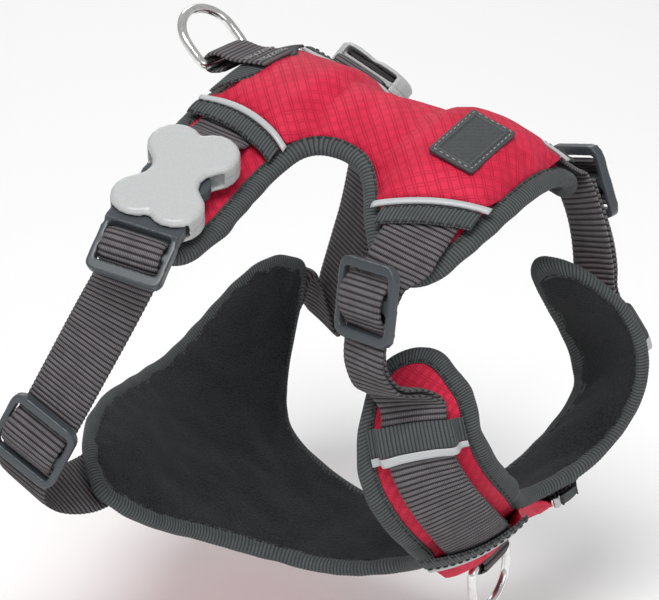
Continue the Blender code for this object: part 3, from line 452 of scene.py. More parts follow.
def ripstop():
    n = Nodes("ripstop", 0.58)
    u, v = n.uv()
    pulses = []
    for diagonal in (n.plus(u, v), n.minus(u, v)):
        phase = n.math("FRACT", n.times(diagonal, 1 / (RIPSTOP_CELL * math.sqrt(2))))
        for line in (0.35, 0.60):
            distance = n.math("ABSOLUTE", n.minus(phase, line))
            pulses.append(n.ramp(distance, 0.02, 0.07, 1.0, 0.0))
    one, two = n.math("MAXIMUM", pulses[0], pulses[1]), n.math("MAXIMUM", pulses[2], pulses[3])
    threads = n.math("MAXIMUM", one, n.times(two, 0.75))
    cloudy = n.ramp(n.noise(14, 4), 0.3, 0.7)
    weave = n.times(n.wave(n.plus(u, v), 0.5), n.wave(n.minus(u, v), 0.5))
    red = n.mix(cloudy, (0.54, 0.012, 0.046), (0.66, 0.022, 0.068))
    fine = n.mix(n.times(weave, 0.30), red, (0.42, 0.006, 0.028))
    n.colour(n.mix(n.times(threads, 0.5), fine, (0.30, 0.003, 0.018)))
    relief = n.plus(n.times(threads, -0.6), n.times(weave, 0.25))
    n.bump(relief, 0.22)
    n.set(Specular_IOR_Level=0.22)
    return n.material


def ribbed(name, pitch, shaded_valley, crest, yarn, relief, roughness=0.72):
    """Ribs across a tape or webbing; the yarns of each rib run along it. The colour has painted shade in the
    valleys between the ribs and between the yarns.
    """
    n = Nodes(name, roughness)
    u, v = n.uv()
    rib = n.wave(u, pitch)
    strand = n.wave(n.plus(v, n.times(n.wave(u, pitch), 0.2)), yarn)
    # painted shade: darkest in the rib valleys and between the yarns, lightest on the crests; the noise adds
    # random tone on top
    body = n.times(n.ramp(rib, 0.03, 0.6), n.plus(n.times(strand, 0.7), 0.3))
    rib_shade_and_wear = n.times(body, n.ramp(n.noise(5, 3), 0.2, 0.8, 0.75, 1.15))
    n.colour(n.mix(rib_shade_and_wear, shaded_valley, crest))
    n.bump(n.plus(n.times(rib, 0.7), n.times(strand, 0.3)), relief)
    n.set(Sheen_Weight=0.05, Sheen_Roughness=0.5, Specular_IOR_Level=0.2)
    return n.material


def smooth_tape():
    n = Nodes("reflective_piping", 0.42)
    u, v = n.uv()
    grain = n.times(n.wave(u, 0.8), n.wave(v, 0.8))
    n.colour(n.mix(n.times(grain, 0.5), (0.42, 0.43, 0.44), (0.33, 0.345, 0.355)))
    n.bump(grain, 0.05)
    return n.material


def fleece():
    n = Nodes("fleece", 0.95)
    tufts = n.ramp(n.noise(0.7, 3), 0.3, 0.7)
    patches = n.ramp(n.noise(18, 3), 0.3, 0.7)
    pile = n.mix(patches, (0.005, 0.0055, 0.0065), (0.011, 0.012, 0.014))
    n.colour(n.mix(n.times(tufts, 0.6), pile, (0.028, 0.029, 0.033)))
    n.bump(tufts, 0.3, 0.7)
    n.set(Sheen_Weight=0.07, Sheen_Roughness=0.7, Specular_IOR_Level=0.06)
    return n.material


def plain(name, dark, light, roughness, grain, relief, metallic=0.0, **settings):
    """A moulded or coated surface with a fine even grain."""
    n = Nodes(name, roughness, metallic)
    speckle = n.noise(grain, 4)
    n.colour(n.mix(n.ramp(speckle, 0.3, 0.7), dark, light))
    n.bump(speckle, relief)
    n.set(**settings)
    return n.material


def polished_steel():
    n = Nodes("polished_steel", 0.16, 1.0)
    n.colour(n.mix(n.ramp(n.noise(3, 3), 0.35, 0.65), (0.66, 0.66, 0.65), (0.78, 0.78, 0.77)))
    n.put(n.shader.inputs["Roughness"], n.ramp(n.noise(0.7, 4), 0.3, 0.7, 0.10, 0.24))
    n.bump(n.noise(0.5, 3), 0.01)
    return n.material


MATERIALS = {
    "ripstop": ripstop(),
    # ribbed materials: the first colour is painted shade for the rib valleys, the second the colour of the
    # crests
    "webbing": ribbed("webbing", RIB, (0.020, 0.018, 0.020), (0.190, 0.172, 0.182), 0.62, 0.35),
    "grosgrain": ribbed("grosgrain", TAPE_RIB, (0.026, 0.029, 0.030), (0.105, 0.115, 0.116), 0.5, 0.18),
    "piping": smooth_tape(),
    "fleece": fleece(),
    "foam": plain("foam", (0.60, 0.60, 0.57), (0.72, 0.72, 0.69), 0.9, 0.8, 0.2),
    "thread": plain("thread", (0.008, 0.009, 0.009), (0.03, 0.032, 0.032), 0.7, 0.4, 0.05),
    "light_thread": plain("light_thread", (0.20, 0.19, 0.19), (0.34, 0.33, 0.33), 0.7, 0.4, 0.05),
    "grey_plastic": plain("grey_plastic", (0.40, 0.41, 0.41), (0.45, 0.46, 0.46), 0.36, 0.5, 0.012,
                          Subsurface_Weight=0.06, Subsurface_Scale=0.004, Coat_Weight=0.08),
    "dark_plastic": plain("dark_plastic", (0.040, 0.048, 0.054), (0.050, 0.058, 0.066), 0.34, 0.5, 0.012),
    "steel": polished_steel(),
    "badge_rubber": plain("badge_rubber", (0.030, 0.034, 0.036), (0.055, 0.060, 0.062), 0.62, 0.5, 0.04),
}


# ---- pieces ------------------------------------------------------------------------------
def put_piece(obj, slot, body, *nodes):
    """Links a piece, makes it ride on a body and, if nodes are named, replaces them."""
    if obj.name not in bpy.context.scene.collection.all_objects:
        bpy.context.scene.collection.objects.link(obj)
    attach(obj, body)
    if nodes:
        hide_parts(*nodes)
    return obj


def mesh_piece(name, verts, faces, material, uv=None):
    """A smooth mesh from world millimetres, with its flat coordinates as UVs in metres."""
    mesh = bpy.data.meshes.new(name)
    mesh.from_pydata((np.asarray(verts) * MM).tolist(), [], [tuple(int(i) for i in f) for f in faces])
    mesh.materials.append(MATERIALS[material])
    if uv is not None:
        layer = mesh.uv_layers.new(name="flat")
        corners = np.empty(len(mesh.loops), dtype=np.int32)
        mesh.loops.foreach_get("vertex_index", corners)
        layer.data.foreach_set("uv", (np.asarray(uv, float)[corners] * MM).ravel())
    mesh.shade_smooth()
    mesh.validate()
    return bpy.data.objects.new(name, mesh)


def ripple(points, size, seed=0.0):
    """Smooth noise from about -1 to 1 at each point, with features of about that size."""
    points = np.asarray(points, float)
    if points.ndim == 1:
        points = np.stack([points, np.zeros_like(points)], 1)
    pad = np.column_stack([points, np.full(len(points), seed * size)])[:, :3]
    return np.array([noise.noise(Vector(p / size + seed)) for p in pad]) * 1.8


def nearest_on(loop, points):
    """Distance of each point from a loop, and the length along the loop where it is nearest."""
    closed = np.vstack([loop, loop[:1]])
    length = lengths(closed)
    distance = np.linalg.norm(points[:, None] - loop[None], axis=2)
    nearest = distance.argmin(1)
    return distance[np.arange(len(points)), nearest], length[nearest]


def resample(rows, spacing):
    """Rows of points made smooth and even along their length."""
    rows = aligned(rows)
    middle = rows.mean(1)
    chord = lengths(middle)
    slope = np.gradient(rows, chord, axis=0)
    at = np.linspace(0, chord[-1], max(4, int(round(chord[-1] / spacing))))
    i = np.clip(np.searchsorted(chord, at, side="right") - 1, 0, len(chord) - 2)
    step = (chord[i + 1] - chord[i])[:, None, None]
    x = (at - chord[i])[:, None, None] / step
    smooth = (rows[i] * (2 * x ** 3 - 3 * x ** 2 + 1) + rows[i + 1] * (3 * x ** 2 - 2 * x ** 3)
              + slope[i] * step * (x ** 3 - 2 * x ** 2 + x) + slope[i + 1] * step * (x ** 3 - x ** 2))
    return smooth, at


def ribbon(name, rows, material, body, nodes, thickness=WEB_THICK, rib=RIB, amplitude=0.17, columns=10):
    """Woven band through rows of points: rounded edges, ribs across it and a scalloped selvedge."""
    rows, along = resample(rows, rib / 4 if rib else 1.0)
    across = np.linspace(-1, 1, columns)
    place = (across + 1) / 2 * (rows.shape[1] - 1)
    grid = np.stack([natural_spline(row, place) for row in rows])
    normal = normalised(np.cross(np.gradient(grid, axis=1), np.gradient(grid, axis=0)))
    sideways = normalised(np.gradient(grid, axis=1))
    width = np.linalg.norm(grid[:, -1] - grid[:, 0], axis=1).mean()
    crest = np.cos(2 * math.pi * along / rib) if rib else np.zeros_like(along)
    selvedge = 1 - abs(across) ** 10
    half = thickness / 2 * (0.42 + 0.58 * selvedge)[None] + amplitude * 0.5 * crest[:, None] * selvedge[None]
    spread = 0.14 * crest[:, None] * np.sign(across)[None] * (abs(across)[None] > 0.99)
    if rib != RIB:
        spread = spread * 0.5
    grid = grid + sideways * spread[:, :, None]
    half = half[:, :, None]
    rings = np.concatenate([grid + normal * half, (grid - normal * half)[:, ::-1]], 1)
    v = np.concatenate([across, across[::-1]]) * width / 2
    uv = np.stack(np.broadcast_arrays(along[:, None], v[None]), 2).reshape(-1, 2)
    n, m = rings.shape[:2]
    faces = [(i * m + k, i * m + (k + 1) % m, (i + 1) * m + (k + 1) % m, (i + 1) * m + k)
             for i in range(n - 1) for k in range(m)]
    faces += [tuple(range(m))[::-1], tuple((n - 1) * m + k for k in range(m))]
    made = mesh_piece(name, rings.reshape(-1, 3), faces, material, uv)
    put_piece(made, material, body, *nodes)
    return made, grid, normal, along


def read_along(at, reach, values):
    """Values at those lengths along a line, whose points lie at the lengths in reach."""
    return np.stack([np.interp(at, reach, values[:, k]) for k in range(3)], 1)


def stitches(name, points, normals, body, material="thread", length=STITCH, pitch=STITCH_PITCH,
             radius=THREAD, closed=False, sink=0.35):
    """A row of thread stitches along a line of world points that lies on the cloth."""
    points, normals = np.asarray(points, float), np.asarray(normals, float)
    if closed:
        points, normals = np.vstack([points, points[:1]]), np.vstack([normals, normals[:1]])
    reach = lengths(points)
    count = max(1, int(reach[-1] / pitch))
    middle = (np.arange(count) + 0.5) * reach[-1] / count
    verts, faces = [], []
    # place along the stitch, thickness and lift: it dives into the cloth at both ends
    stations = ((-0.5, 0.2, -sink), (-0.36, 0.85, 0.0), (0.0, 1.0, 0.08), (0.36, 0.85, 0.0),
                (0.5, 0.2, -sink))
    out = normalised(read_along(middle, reach, normals))
    sides = 6
    for i in range(count):
        ends = read_along([middle[i] - 0.4, middle[i] + 0.4], reach, points)
        tangent = unit(ends[1] - ends[0])
        binormal = np.cross(out[i], tangent)
        base = len(verts)
        for offset, size, lift in stations:
            centre = read_along([middle[i] + offset * length], reach, points)[0] + out[i] * lift
            for k in range(sides):
                angle = 2 * math.pi * k / sides
                spoke = out[i] * math.sin(angle) + binormal * math.cos(angle)
                verts.append(centre + radius * size * spoke)
        for j in range(len(stations) - 1):
            for k in range(sides):
                a, b = base + j * sides + k, base + j * sides + (k + 1) % sides
                faces.append((a, b, b + sides, a + sides))
        faces.append(tuple(base + k for k in range(sides))[::-1])
        faces.append(tuple(base + (len(stations) - 1) * sides + k for k in range(sides)))
    return put_piece(mesh_piece(name, verts, faces, material), "webbing", body)


# ---- panels ------------------------------------------------------------------------------
def back_pocket(s):
    """Sideways place of the pocket mouths of the back panel at station s."""
    s = np.asarray(s, float)
    rear = 25.5 + 8.0 * ((s - 17) / 26) ** 2
    front = 25.3 + 0.32 * (112 - s) + 0.0071 * (112 - s) ** 2
    return np.where(s < 61, rear, front)


def chest_pocket(s):
    """Sideways place of the pocket mouths of the chest panel at station s."""
    s = np.asarray(s, float)
    rear = 44.0 + 6.0 * ((s - 28) / 25) ** 2
    front = 11.5 + 0.25 * (192.7 - s) + 0.0133 * (192.7 - s) ** 2
    return np.where(s < 110, rear, front)


ONE_LAYER = WEB_THICK + LAYER_GAP + 0.3                 # lift of a cover over one layer of webbing
NECK_LOW_H = BINDING_H + 0.5 + WEB_THICK / 2       # first layer of neck webbing on a panel
NECK_LIFT = NECK_LOW_H + WEB_THICK / 2 + LAYER_GAP - TOP_H
TWO_LAYERS = NECK_LOW_H + WEB_THICK / 2 + LAYER_STEP + LAYER_GAP - TOP_H


def back_lift(p):
    """Extra height of the cover where webbing runs under it."""
    s = p[:, 0]
    girth, neck = smooth_step(abs(s - GIRTH_S), 16, 25), smooth_step(abs(s - NECK_S), 15, 24)
    return ONE_LAYER * girth + NECK_LIFT * neck


def arm_station(t):
    """Station of the neck webbing under the cover of the chest panel."""
    middle, half = (ARM_S["right"] + ARM_S["left"]) / 2, (ARM_S["left"] - ARM_S["right"]) / 2
    return middle + half * np.clip(t / 20, -1, 1)


def chest_lift(p):
    s = p[:, 0]
    belly = smooth_step(abs(s - BELLY_S), 16, 25)
    mouths = TWO_LAYERS * (1 - smooth_step(abs(p[:, 1]), 4, 19))
    return ONE_LAYER * belly + mouths * smooth_step(abs(s - arm_station(p[:, 1])), 17, 25)


def cover_loop(edge, pocket):
    """The part of the panel between its pocket mouths, as a loop."""
    fine = even(edge, 1.0)
    keep = abs(fine[:, 1]) < pocket(fine[:, 0]) - 0.01
    start = int(np.argmax(keep & ~np.roll(keep, 1)))
    fine, keep = np.roll(fine, -start, 0), np.roll(keep, -start)
    loop, i = [], 0
    while i < len(fine):
        if keep[i]:
            loop.append(fine[i])
            i += 1
            continue
        a = fine[i]
        while i < len(fine) and not keep[i]:
            i += 1
        b = fine[i % len(fine)]
        side = math.copysign(1, a[1])
        for s in np.linspace(a[0], b[0], 24)[1:-1]:
            loop.append((s, side * float(pocket(s))))
    return even(np.array(loop), EDGE_SPACING)


# ---- panels as cloth ---------------------------------------------------------------------
def swell(points, loop, seed):
    """Height that the padding adds: none at the seam, with puckers that run in from it."""
    distance, along = nearest_on(loop, points)
    near = np.exp(-distance / SEAM_REACH)
    dome = PUFF * (1 - near)
    pucker = PUCKER * near * np.sin(along / PUCKER_PITCH + 3 * ripple(along, 18, seed))
    folds = (LARGE_FOLD[0] * ripple(points, LARGE_FOLD[1], seed)
             + SMALL_FOLD[0] * ripple(points, SMALL_FOLD[1], seed + 3))
    return dome + pucker * np.clip(distance / 1.5, 0, 1) + folds * np.clip(distance / 9, 0, 1)


SIM_SETTINGS = {
    "vertex_group_mass": "pin", "quality": 6, "mass": 0.3,
    "tension_stiffness": 18, "compression_stiffness": 9, "bending_stiffness": 0.6,
    "use_pressure": True, "uniform_pressure_force": 1.2, "shrink_min": -0.035,
}


def relax(points, faces, start, loop, normals):
    """Heights after a short cloth simulation, with the seam pinned and air under the cloth."""
    mesh = bpy.data.meshes.new("relaxing")
    mesh.from_pydata((start * MM * SIM_SCALE).tolist(), [], [tuple(int(i) for i in f) for f in faces])
    obj = bpy.data.objects.new("relaxing", mesh)
    bpy.context.scene.collection.objects.link(obj)
    distance, _ = nearest_on(loop, points)
    pin = obj.vertex_groups.new(name="pin")
    pin.add([int(i) for i in np.where(distance < SIM_PIN)[0]], 1.0, "REPLACE")
    settings = obj.modifiers.new("cloth", "CLOTH").settings
    for key, value in SIM_SETTINGS.items():
        setattr(settings, key, value)
    settings.effector_weights.gravity = 0
    scene = bpy.context.scene
    for number in range(1, SIM_FRAMES + 1):
        scene.frame_set(number)
    result = obj.evaluated_get(bpy.context.evaluated_depsgraph_get()).to_mesh()
    moved = np.array([v.co[:] for v in result.vertices]) / (MM * SIM_SCALE) - start
    scene.frame_set(1)
    bpy.data.objects.remove(obj, do_unlink=True)
    return np.clip((moved * normals).sum(1), *SIM_RANGE)


def cloth_panel(name, drape, loop, low, thickness, material, seed, spacing=CLOTH_SPACING,
                simulate=False, growth=1.0):
    """A layer of a panel, from the pattern loop, with its top swollen by the padding."""
    points, faces = fill(loop, spacing)
    if drape.outward < 0:
        faces = [f[::-1] for f in faces]
    base = low(points) if callable(low) else np.full(len(points), float(low))
    rise = swell(points, loop, seed) * growth
    normals = drape.axes(points)[2]
    if simulate:
        start = drape.at(points, base + thickness + rise * SIM_SHARE)
        rise = rise * SIM_SHARE + relax(points, faces, start, loop, normals)
    surface = drape.surface(points)
    top = surface + normals * (base + thickness + rise)[:, None]
    bottom = surface + normals * (base + rise)[:, None]
    n = len(points)
    directed = {(f[k], f[(k + 1) % len(f)]) for f in faces for k in range(len(f))}
    rim = sorted((a, b) for a, b in directed if (b, a) not in directed)
    walls = [(b, a, a + n, b + n) for a, b in rim]
    everything = list(faces) + [tuple(i + n for i in f[::-1]) for f in faces] + walls
    made = mesh_piece(name + "_cloth", np.vstack([top, bottom]), everything, material,
                      np.vstack([points, points]))
    put_piece(made, material, "harness", name)


TAPE_H = BINDING_H - 0.45             # the cloth tape is a little flatter than the plain solid
BINDING_TOP = ((6.0, 0.80), (5.5, 0.90), (4.9, 0.84), (4.3, 0.95), (3.2, 1.0), (2.2, 0.97), (1.2, 0.84),
               (0.5, 0.60), (0.1, 0.32))


def edge_binding(name, drape, half, seed):
    """Ribbed tape folded round the panel's edge, with its ribs, puckers and two rows of stitches."""
    loop = outline(half, TAPE_RIB / 3)
    smooth = even(loop, EDGE_SPACING)
    n = len(loop)
    length = np.arange(n) * TAPE_RIB / 3
    ribs = np.cos(2 * math.pi * np.arange(n) / 3)
    uneven = 1 + 0.09 * ripple(length, 7, seed)
    wander = 0.45 * ripple(length, 11, seed + 5) - 0.1
    section = [(d, h * TAPE_H) for d, h in BINDING_TOP]
    section += [(0.0, 0.0)] + [(d, -h) for d, h in section[::-1]]
    section += [(5.9, -1.95), (1.5, -1.95), (1.5, 1.95), (5.9, 1.95)]
    outer = 2 * len(BINDING_TOP) + 1
    turn = inward(loop)
    rings, seam = [], 0.0
    uv = []
    for j, (depth, height) in enumerate(section):
        ribbing = 0.11 * ribs * (1 if j < outer else 0)
        lift = height * uneven + math.copysign(1, height) * ribbing * (abs(height) > 0.3)
        rings.append(drape.at(loop + turn * (depth + wander * (1 - depth / 7))[:, None], lift))
        if j:
            seam += math.dist(section[j], section[j - 1])
        uv.append(np.stack([length, np.full(n, seam)], 1))
    m = len(section)
    faces = [(j * n + i, (j + 1) % m * n + i, (j + 1) % m * n + (i + 1) % n, j * n + (i + 1) % n)
             for j in range(m) for i in range(n)]
    if drape.outward < 0:
        faces = [f[::-1] for f in faces]
    made = mesh_piece(name + "_tape", np.vstack(rings), faces, "grosgrain", np.vstack(uv))
    put_piece(made, "grosgrain", "harness", name)
    line = inset(smooth, 4.9)
    for word, sign in (("outer", 1), ("inner", -1)):
        height = sign * (0.88 * TAPE_H + 0.12)
        stitches(f"{name}_{word}_stitches", drape.at(line, height), drape.axes(line)[2] * sign, "harness",
                 closed=True)


def mouth_bands(drape, half, pocket, lift, side, span, names):
    """The folded tape, the ribbed strip and the light piping of a pocket mouth."""
    field = inset(even(outline(half, 1.0), 1.0), BINDING_REACH - 2.6)
    s = np.linspace(*span, 300)
    start = PIPING_BAND + 2 * MOUTH_GAP
    bands = [(start, start + POCKET_BAND, names[0], "grosgrain", TAPE_RIB, 0.9)]
    if names[1]:
        bands.append((MOUTH_GAP, MOUTH_GAP + PIPING_BAND, names[1], "piping", 0, 1.1))
    for low, high, node, material, rib, thickness in bands:
        ok = np.ones(len(s), bool)
        for offset in (low, high):
            ok &= inside(field, np.stack([s, side * (pocket(s) + offset)], 1))
        along = np.linspace(s[ok][0], s[ok][-1], 30)
        rows = []
        for offset in np.linspace(low, high, 3):
            p = np.stack([along, side * (pocket(along) + offset)], 1)
            crown = 0.35 if low < offset < high else 0.0
            rows.append(drape.at(p, TOP_H + SKIN / 2 + lift(p) + crown))
        _, grid, normal, _ = ribbon(node + "_tape", list(zip(*rows)), material, "harness", [node],
                                    thickness, rib, 0.14, 8)
        if material == "grosgrain":
            first = np.array([[along[0], side * float(pocket(along[0]))]])
            facing = np.sign(normal[:, 0] @ drape.axes(first)[2][0])
            for k, word in ((0, "first"), (-1, "second")):
                column = grid[:, k] * 0.86 + grid[:, 3] * 0.14
                out = normal[:, 3] * facing[:, None]
                stitches(f"{node}_{word}_stitches", column + out * 0.62, out, "harness", length=2.1,
                         pitch=2.9)


def make_panel(prefix, drape, half, pocket, lift, seed):
    edge = outline(half, EDGE_SPACING)
    inner = inset(edge, BINDING_WEB + EDGE_GAP)
    cloth_panel(prefix + "_lining", drape, inner, -BASE_H - SKIN, SKIN, "fleece", seed + 7, growth=-2.2)
    cloth_panel(prefix + "_foam_pad", drape, inner, -FOAM_HALF, 2 * FOAM_HALF, "foam", seed, FOAM_SPACING,
                growth=0.0)
    cloth_panel(prefix + "_base_panel", drape, inner, BASE_H, SKIN, "ripstop", seed + 1, growth=0.35)
    edge_binding(prefix + "_edge_binding", drape, half, seed + 2)
    field = inset(outline(half, 1.0), BINDING_REACH - 0.4)
    cover = cover_loop(field, pocket)

    def height(p):
        """The cover rides over the webbing and comes down to the binding at the panel's edge."""
        distance, _ = nearest_on(field, p)
        mouth = smooth_step(pocket(p[:, 0]) - abs(p[:, 1]), 0, 9)
        free = np.maximum(1 - smooth_step(distance, 0, 5), mouth)
        return COVER_SEAM_H + (TOP_H - 0.5 + lift(p) - COVER_SEAM_H) * free

    cloth_panel(prefix + "_cover_panel", drape, cover, height, SKIN, "ripstop", seed + 4, simulate=True)


make_panel("back", BACK, BACK_HALF, back_pocket, back_lift, 1.0)
make_panel("chest", CHEST, CHEST_HALF, chest_pocket, chest_lift, 21.0)
# panel, outline, mouth, lift, range of stations, word in the names, whether it has piping
MOUTHS = (
    (BACK, BACK_HALF, back_pocket, back_lift, (1, 60), "rear", True),
    (BACK, BACK_HALF, back_pocket, back_lift, (70, 117), "front", True),
    (CHEST, CHEST_HALF, chest_pocket, chest_lift, (140, 191), "chest", True),
    (CHEST, CHEST_HALF, chest_pocket, chest_lift, (1, 90), "belly", False),
)
for name, side in SIDES:
    for drape, half, pocket, lift, span, word, piped in MOUTHS:
        start = f"{name}_{word}_pocket_"
        mouth_bands(drape, half, pocket, lift, side, span,
                    (start + "binding", start + "piping" if piped else None))


# ---- bands of webbing and tape -----------------------------------------------------------
BODY_OF = {node: body for body, nodes in frame["record"]["behaviour"]["bodies"].items() for node in nodes}
BAND_RIB = {"webbing": (RIB, 0.30, 12), "grosgrain": (TAPE_RIB, 0.14, 12), "piping": (0, 0.0, 6)}
WOVEN = {}


def band(name, rows, thickness=WEB_THICK, material="webbing"):
    """The woven piece that stands for the plain band of that name."""
    rib, amplitude, columns = BAND_RIB[material]
    made = ribbon(name + "_weave", rows, material, BODY_OF[name], [name], thickness, rib, amplitude, columns)
    WOVEN[name] = made
    return made


PATCH_HALF, PATCH_DEPTH = 26.0, 11.0  # tape patch under the leash ring's tab
PATCH_H = TOP_H + ONE_LAYER + SKIN + GAP + SKIN   # middle of its thickness


# ---- heights of the neck webbing on the chest panel's arms -------------------------------
LOW_H = TOP_H + WEB_THICK / 2         # webbing that lies on the ripstop
OVER_BINDING = BINDING_H + 1.2 + WEB_THICK / 2    # webbing that crosses an edge binding
KEEPER_T, KEEPER_WIDTH = 87.0, 9.5    # loop that holds the webbing down on the arm
KEEPER_SPAN = (-16.6, -14.2, -12.2, -6, 0, 6, 12.2, 14.2, 16.6)


def arm_height(t):
    """Height of the first layer of neck webbing, highest at the keeper."""
    return NECK_LOW_H + (OVER_BINDING - NECK_LOW_H) * float(1 - smooth_step(t, 66, 84))


def arm_heading(side, t, station):
    """Direction of the neck webbing as it runs up the arm into its pocket."""
    return -CHEST.axes((station, side * t))[1][0] * side


def make_keeper(name, side):
    top = OVER_BINDING + LAYER_STEP + WEB_THICK / 2 + 0.6 + SKIN / 2
    low = BINDING_H + 0.6 + SKIN / 2
    heights = [low, low + 0.3] + [top] * 5 + [low + 0.3, low]
    pieces = ((name + "_keeper_loop", KEEPER_T, KEEPER_T + KEEPER_WIDTH, "grosgrain"),
              (name + "_keeper_piping", KEEPER_T - 3, KEEPER_T - GAP, "piping"))
    for node, t0, t1, material in pieces:
        rows = [draped_row(CHEST, (ARM_S[name], side * t), arm_heading(side, t, ARM_S[name]),
                           heights, KEEPER_SPAN) for t in (t0, t1)]
        band(node, list(zip(*rows)), SKIN, material)


# ---- buckles and sliders -----------------------------------------------------------------
SOCKET_THICK = 10.5
LOBE = (7.0, 14.0, 9.8)                           # bone outline: lobe x, y, radius
MOUTH_Y = LOBE[1] + LOBE[2]                       # the end that takes the plug
SOCKET_HEIGHT = 5.4                               # clear of the edge binding
SOCKET_PLACE = {"right": (24.0, 77.0, -0.14, -0.05), "left": (14.0, 72.0, 0.12, 0.0)}
PLUG_TILT = math.radians(25)                      # bend between the prongs and the strap frame


def socket_frame(name, side):
    """On the wing of the back panel: y points outward along the wing, z away from it."""
    station, sideways, yaw, pitch = SOCKET_PLACE[name]
    p = (station, side * sideways)
    along, across, normal = (v[0] for v in BACK.axes(p))
    outward = across * side * math.cos(yaw) - along * math.sin(yaw)
    outward = unit(outward * math.cos(pitch) + normal * math.sin(pitch))
    return frame_of(BACK.at(p, SOCKET_HEIGHT)[0], np.cross(outward, normal), outward)


FRAME_ORIGIN_Y, FRAME_ORIGIN_Z = MOUTH_Y + 1.4, 5.2
WINDOW_Y = (3.6, 12.0)
BAR_Y = sum(WINDOW_Y) / 2                         # bar that the strap turns round
STRAP_DROP = 5.4                                  # strap's middle under the frame's own middle


def strap_frame(frame):
    """The bent frame of the plug, which the webbing passes through."""
    return frame @ Matrix.Translation((0, FRAME_ORIGIN_Y * MM, FRAME_ORIGIN_Z * MM)) \
        @ Matrix.Rotation(-PLUG_TILT, 4, "X")


SLIDER = (28.4, 28.0, 4.5)            # width, length, corner radius
SLIDER_LOW = 2.3                      # its underside above the middle of the doubled webbing
SLIDER_THICK = 3.6


def slider_webbing(name, frame):
    """The turn of webbing that grips the slider's middle bar."""
    low, top = SLIDER_LOW + 1.0, SLIDER_LOW + SLIDER_THICK + 0.4 + WEB_THICK / 2
    half = [(1.6, top + 0.3), (4.0, top - 0.3), (6.6, low + 1.4), (8.6, low)]
    arch = [(-y, z) for y, z in half[::-1]] + half
    across = frame_axis(frame, 0)
    band(name + "_webbing", [flat_row(apply_frame(frame, (0, y, z)), across)[::2] for y, z in arch])


# ---- straps ------------------------------------------------------------------------------
LAYER = LAYER_STEP / 2                # middle of the doubled webbing to the middle of one layer
SLIDER_CLEAR = SLIDER[1] / 2 + 2.5    # straight run on each side of a slider
# body points of the sliders, and the directions of the webbing's width there
GIRTH_SLIDER = {"right": (-26, -107, -101), "left": (-30, 83, -112)}
GIRTH_WIDTH = {"right": (0.92, 0.12, -0.36), "left": (0.91, -0.34, -0.25)}
NECK_SLIDER = {"right": (87, -63, -36), "left": (93, 57, -32)}
ARM_CONTACT = {"right": 103, "left": 98}         # where the neck webbing reaches the chest panel's arm
NECK_LEAVE = {"right": 56, "left": 50}            # where it leaves the back panel's wing
NECK_STRAIGHT = SLIDER[1] / 2 + 11.0              # straight run below a neck slider
NECK_DOWN = {"right": (0.05, -0.23, -0.97), "left": (0.32, 0.05, -0.94)}
NECK_WIDTH = {"right": (0.91, -0.20, 0.37), "left": (0.93, -0.30, 0.10)}


def direction(v):
    """World direction of a (forward, sideways, up) direction."""
    return unit(body_point(*v) - body_point(0, 0, 0))


def outward_frame(centre, down, width_direction, inside_point):
    """Unit vectors across the webbing, down along it, and out of the dog."""
    down = unit(down)
    across = unit(width_direction - down * np.dot(width_direction, down))
    out = np.cross(across, down)
    if np.dot(out, centre - inside_point) < 0:
        across, out = -across, -out
    return across, down, out


def make_girth_strap(name, side, plug_frame):
    """Webbing doubled between the plug and the slider, then one layer to the belly pocket."""
    bar = apply_frame(plug_frame, (0, BAR_Y, -STRAP_DROP))
    centre = body_point(*GIRTH_SLIDER[name])
    belly = body_point(0, 0, -60)
    across, down, out = outward_frame(centre, centre - bar, direction(GIRTH_WIDTH[name]), belly)
    plug_across = frame_axis(plug_frame, 0)
    plug_across *= math.copysign(1, np.dot(plug_across, across))
    length = np.linalg.norm(centre - bar)
    twist_end = 0.6
    run = [(smooth_step(f, 0.0, twist_end), bar + down * length * f) for f in np.linspace(0, 1, 8)]
    rows = [flat_row(p + out * LAYER, plug_across * w + across * (1 - w)) for w, p in run[::-1]]
    rows.append(flat_row(bar - down, plug_across))
    rows += [flat_row(p - out * LAYER, plug_across * w + across * (1 - w)) for w, p in run]
    rows.append(flat_row(centre - out * LAYER + down * SLIDER_CLEAR, across))
    inward_heading = -CHEST.axes((BELLY_S, side * 82))[1][0] * side
    lying = []
    for t in (81, 74, 66, 58, 50, 41, 32, 23):
        heading = -CHEST.axes((BELLY_S, side * t))[1][0] * side
        height = LOW_H + (OVER_BINDING + 0.6 - LOW_H) * float(1 - smooth_step(t, 62, 76))
        lying.append(draped_row(CHEST, (BELLY_S, side * t), heading, height))
    rows += bend(rows[-1], down, lying[0], inward_heading, 6, 1.5) + lying
    band(name + "_girth_strap", rows)
    return frame_of(centre, across, down)


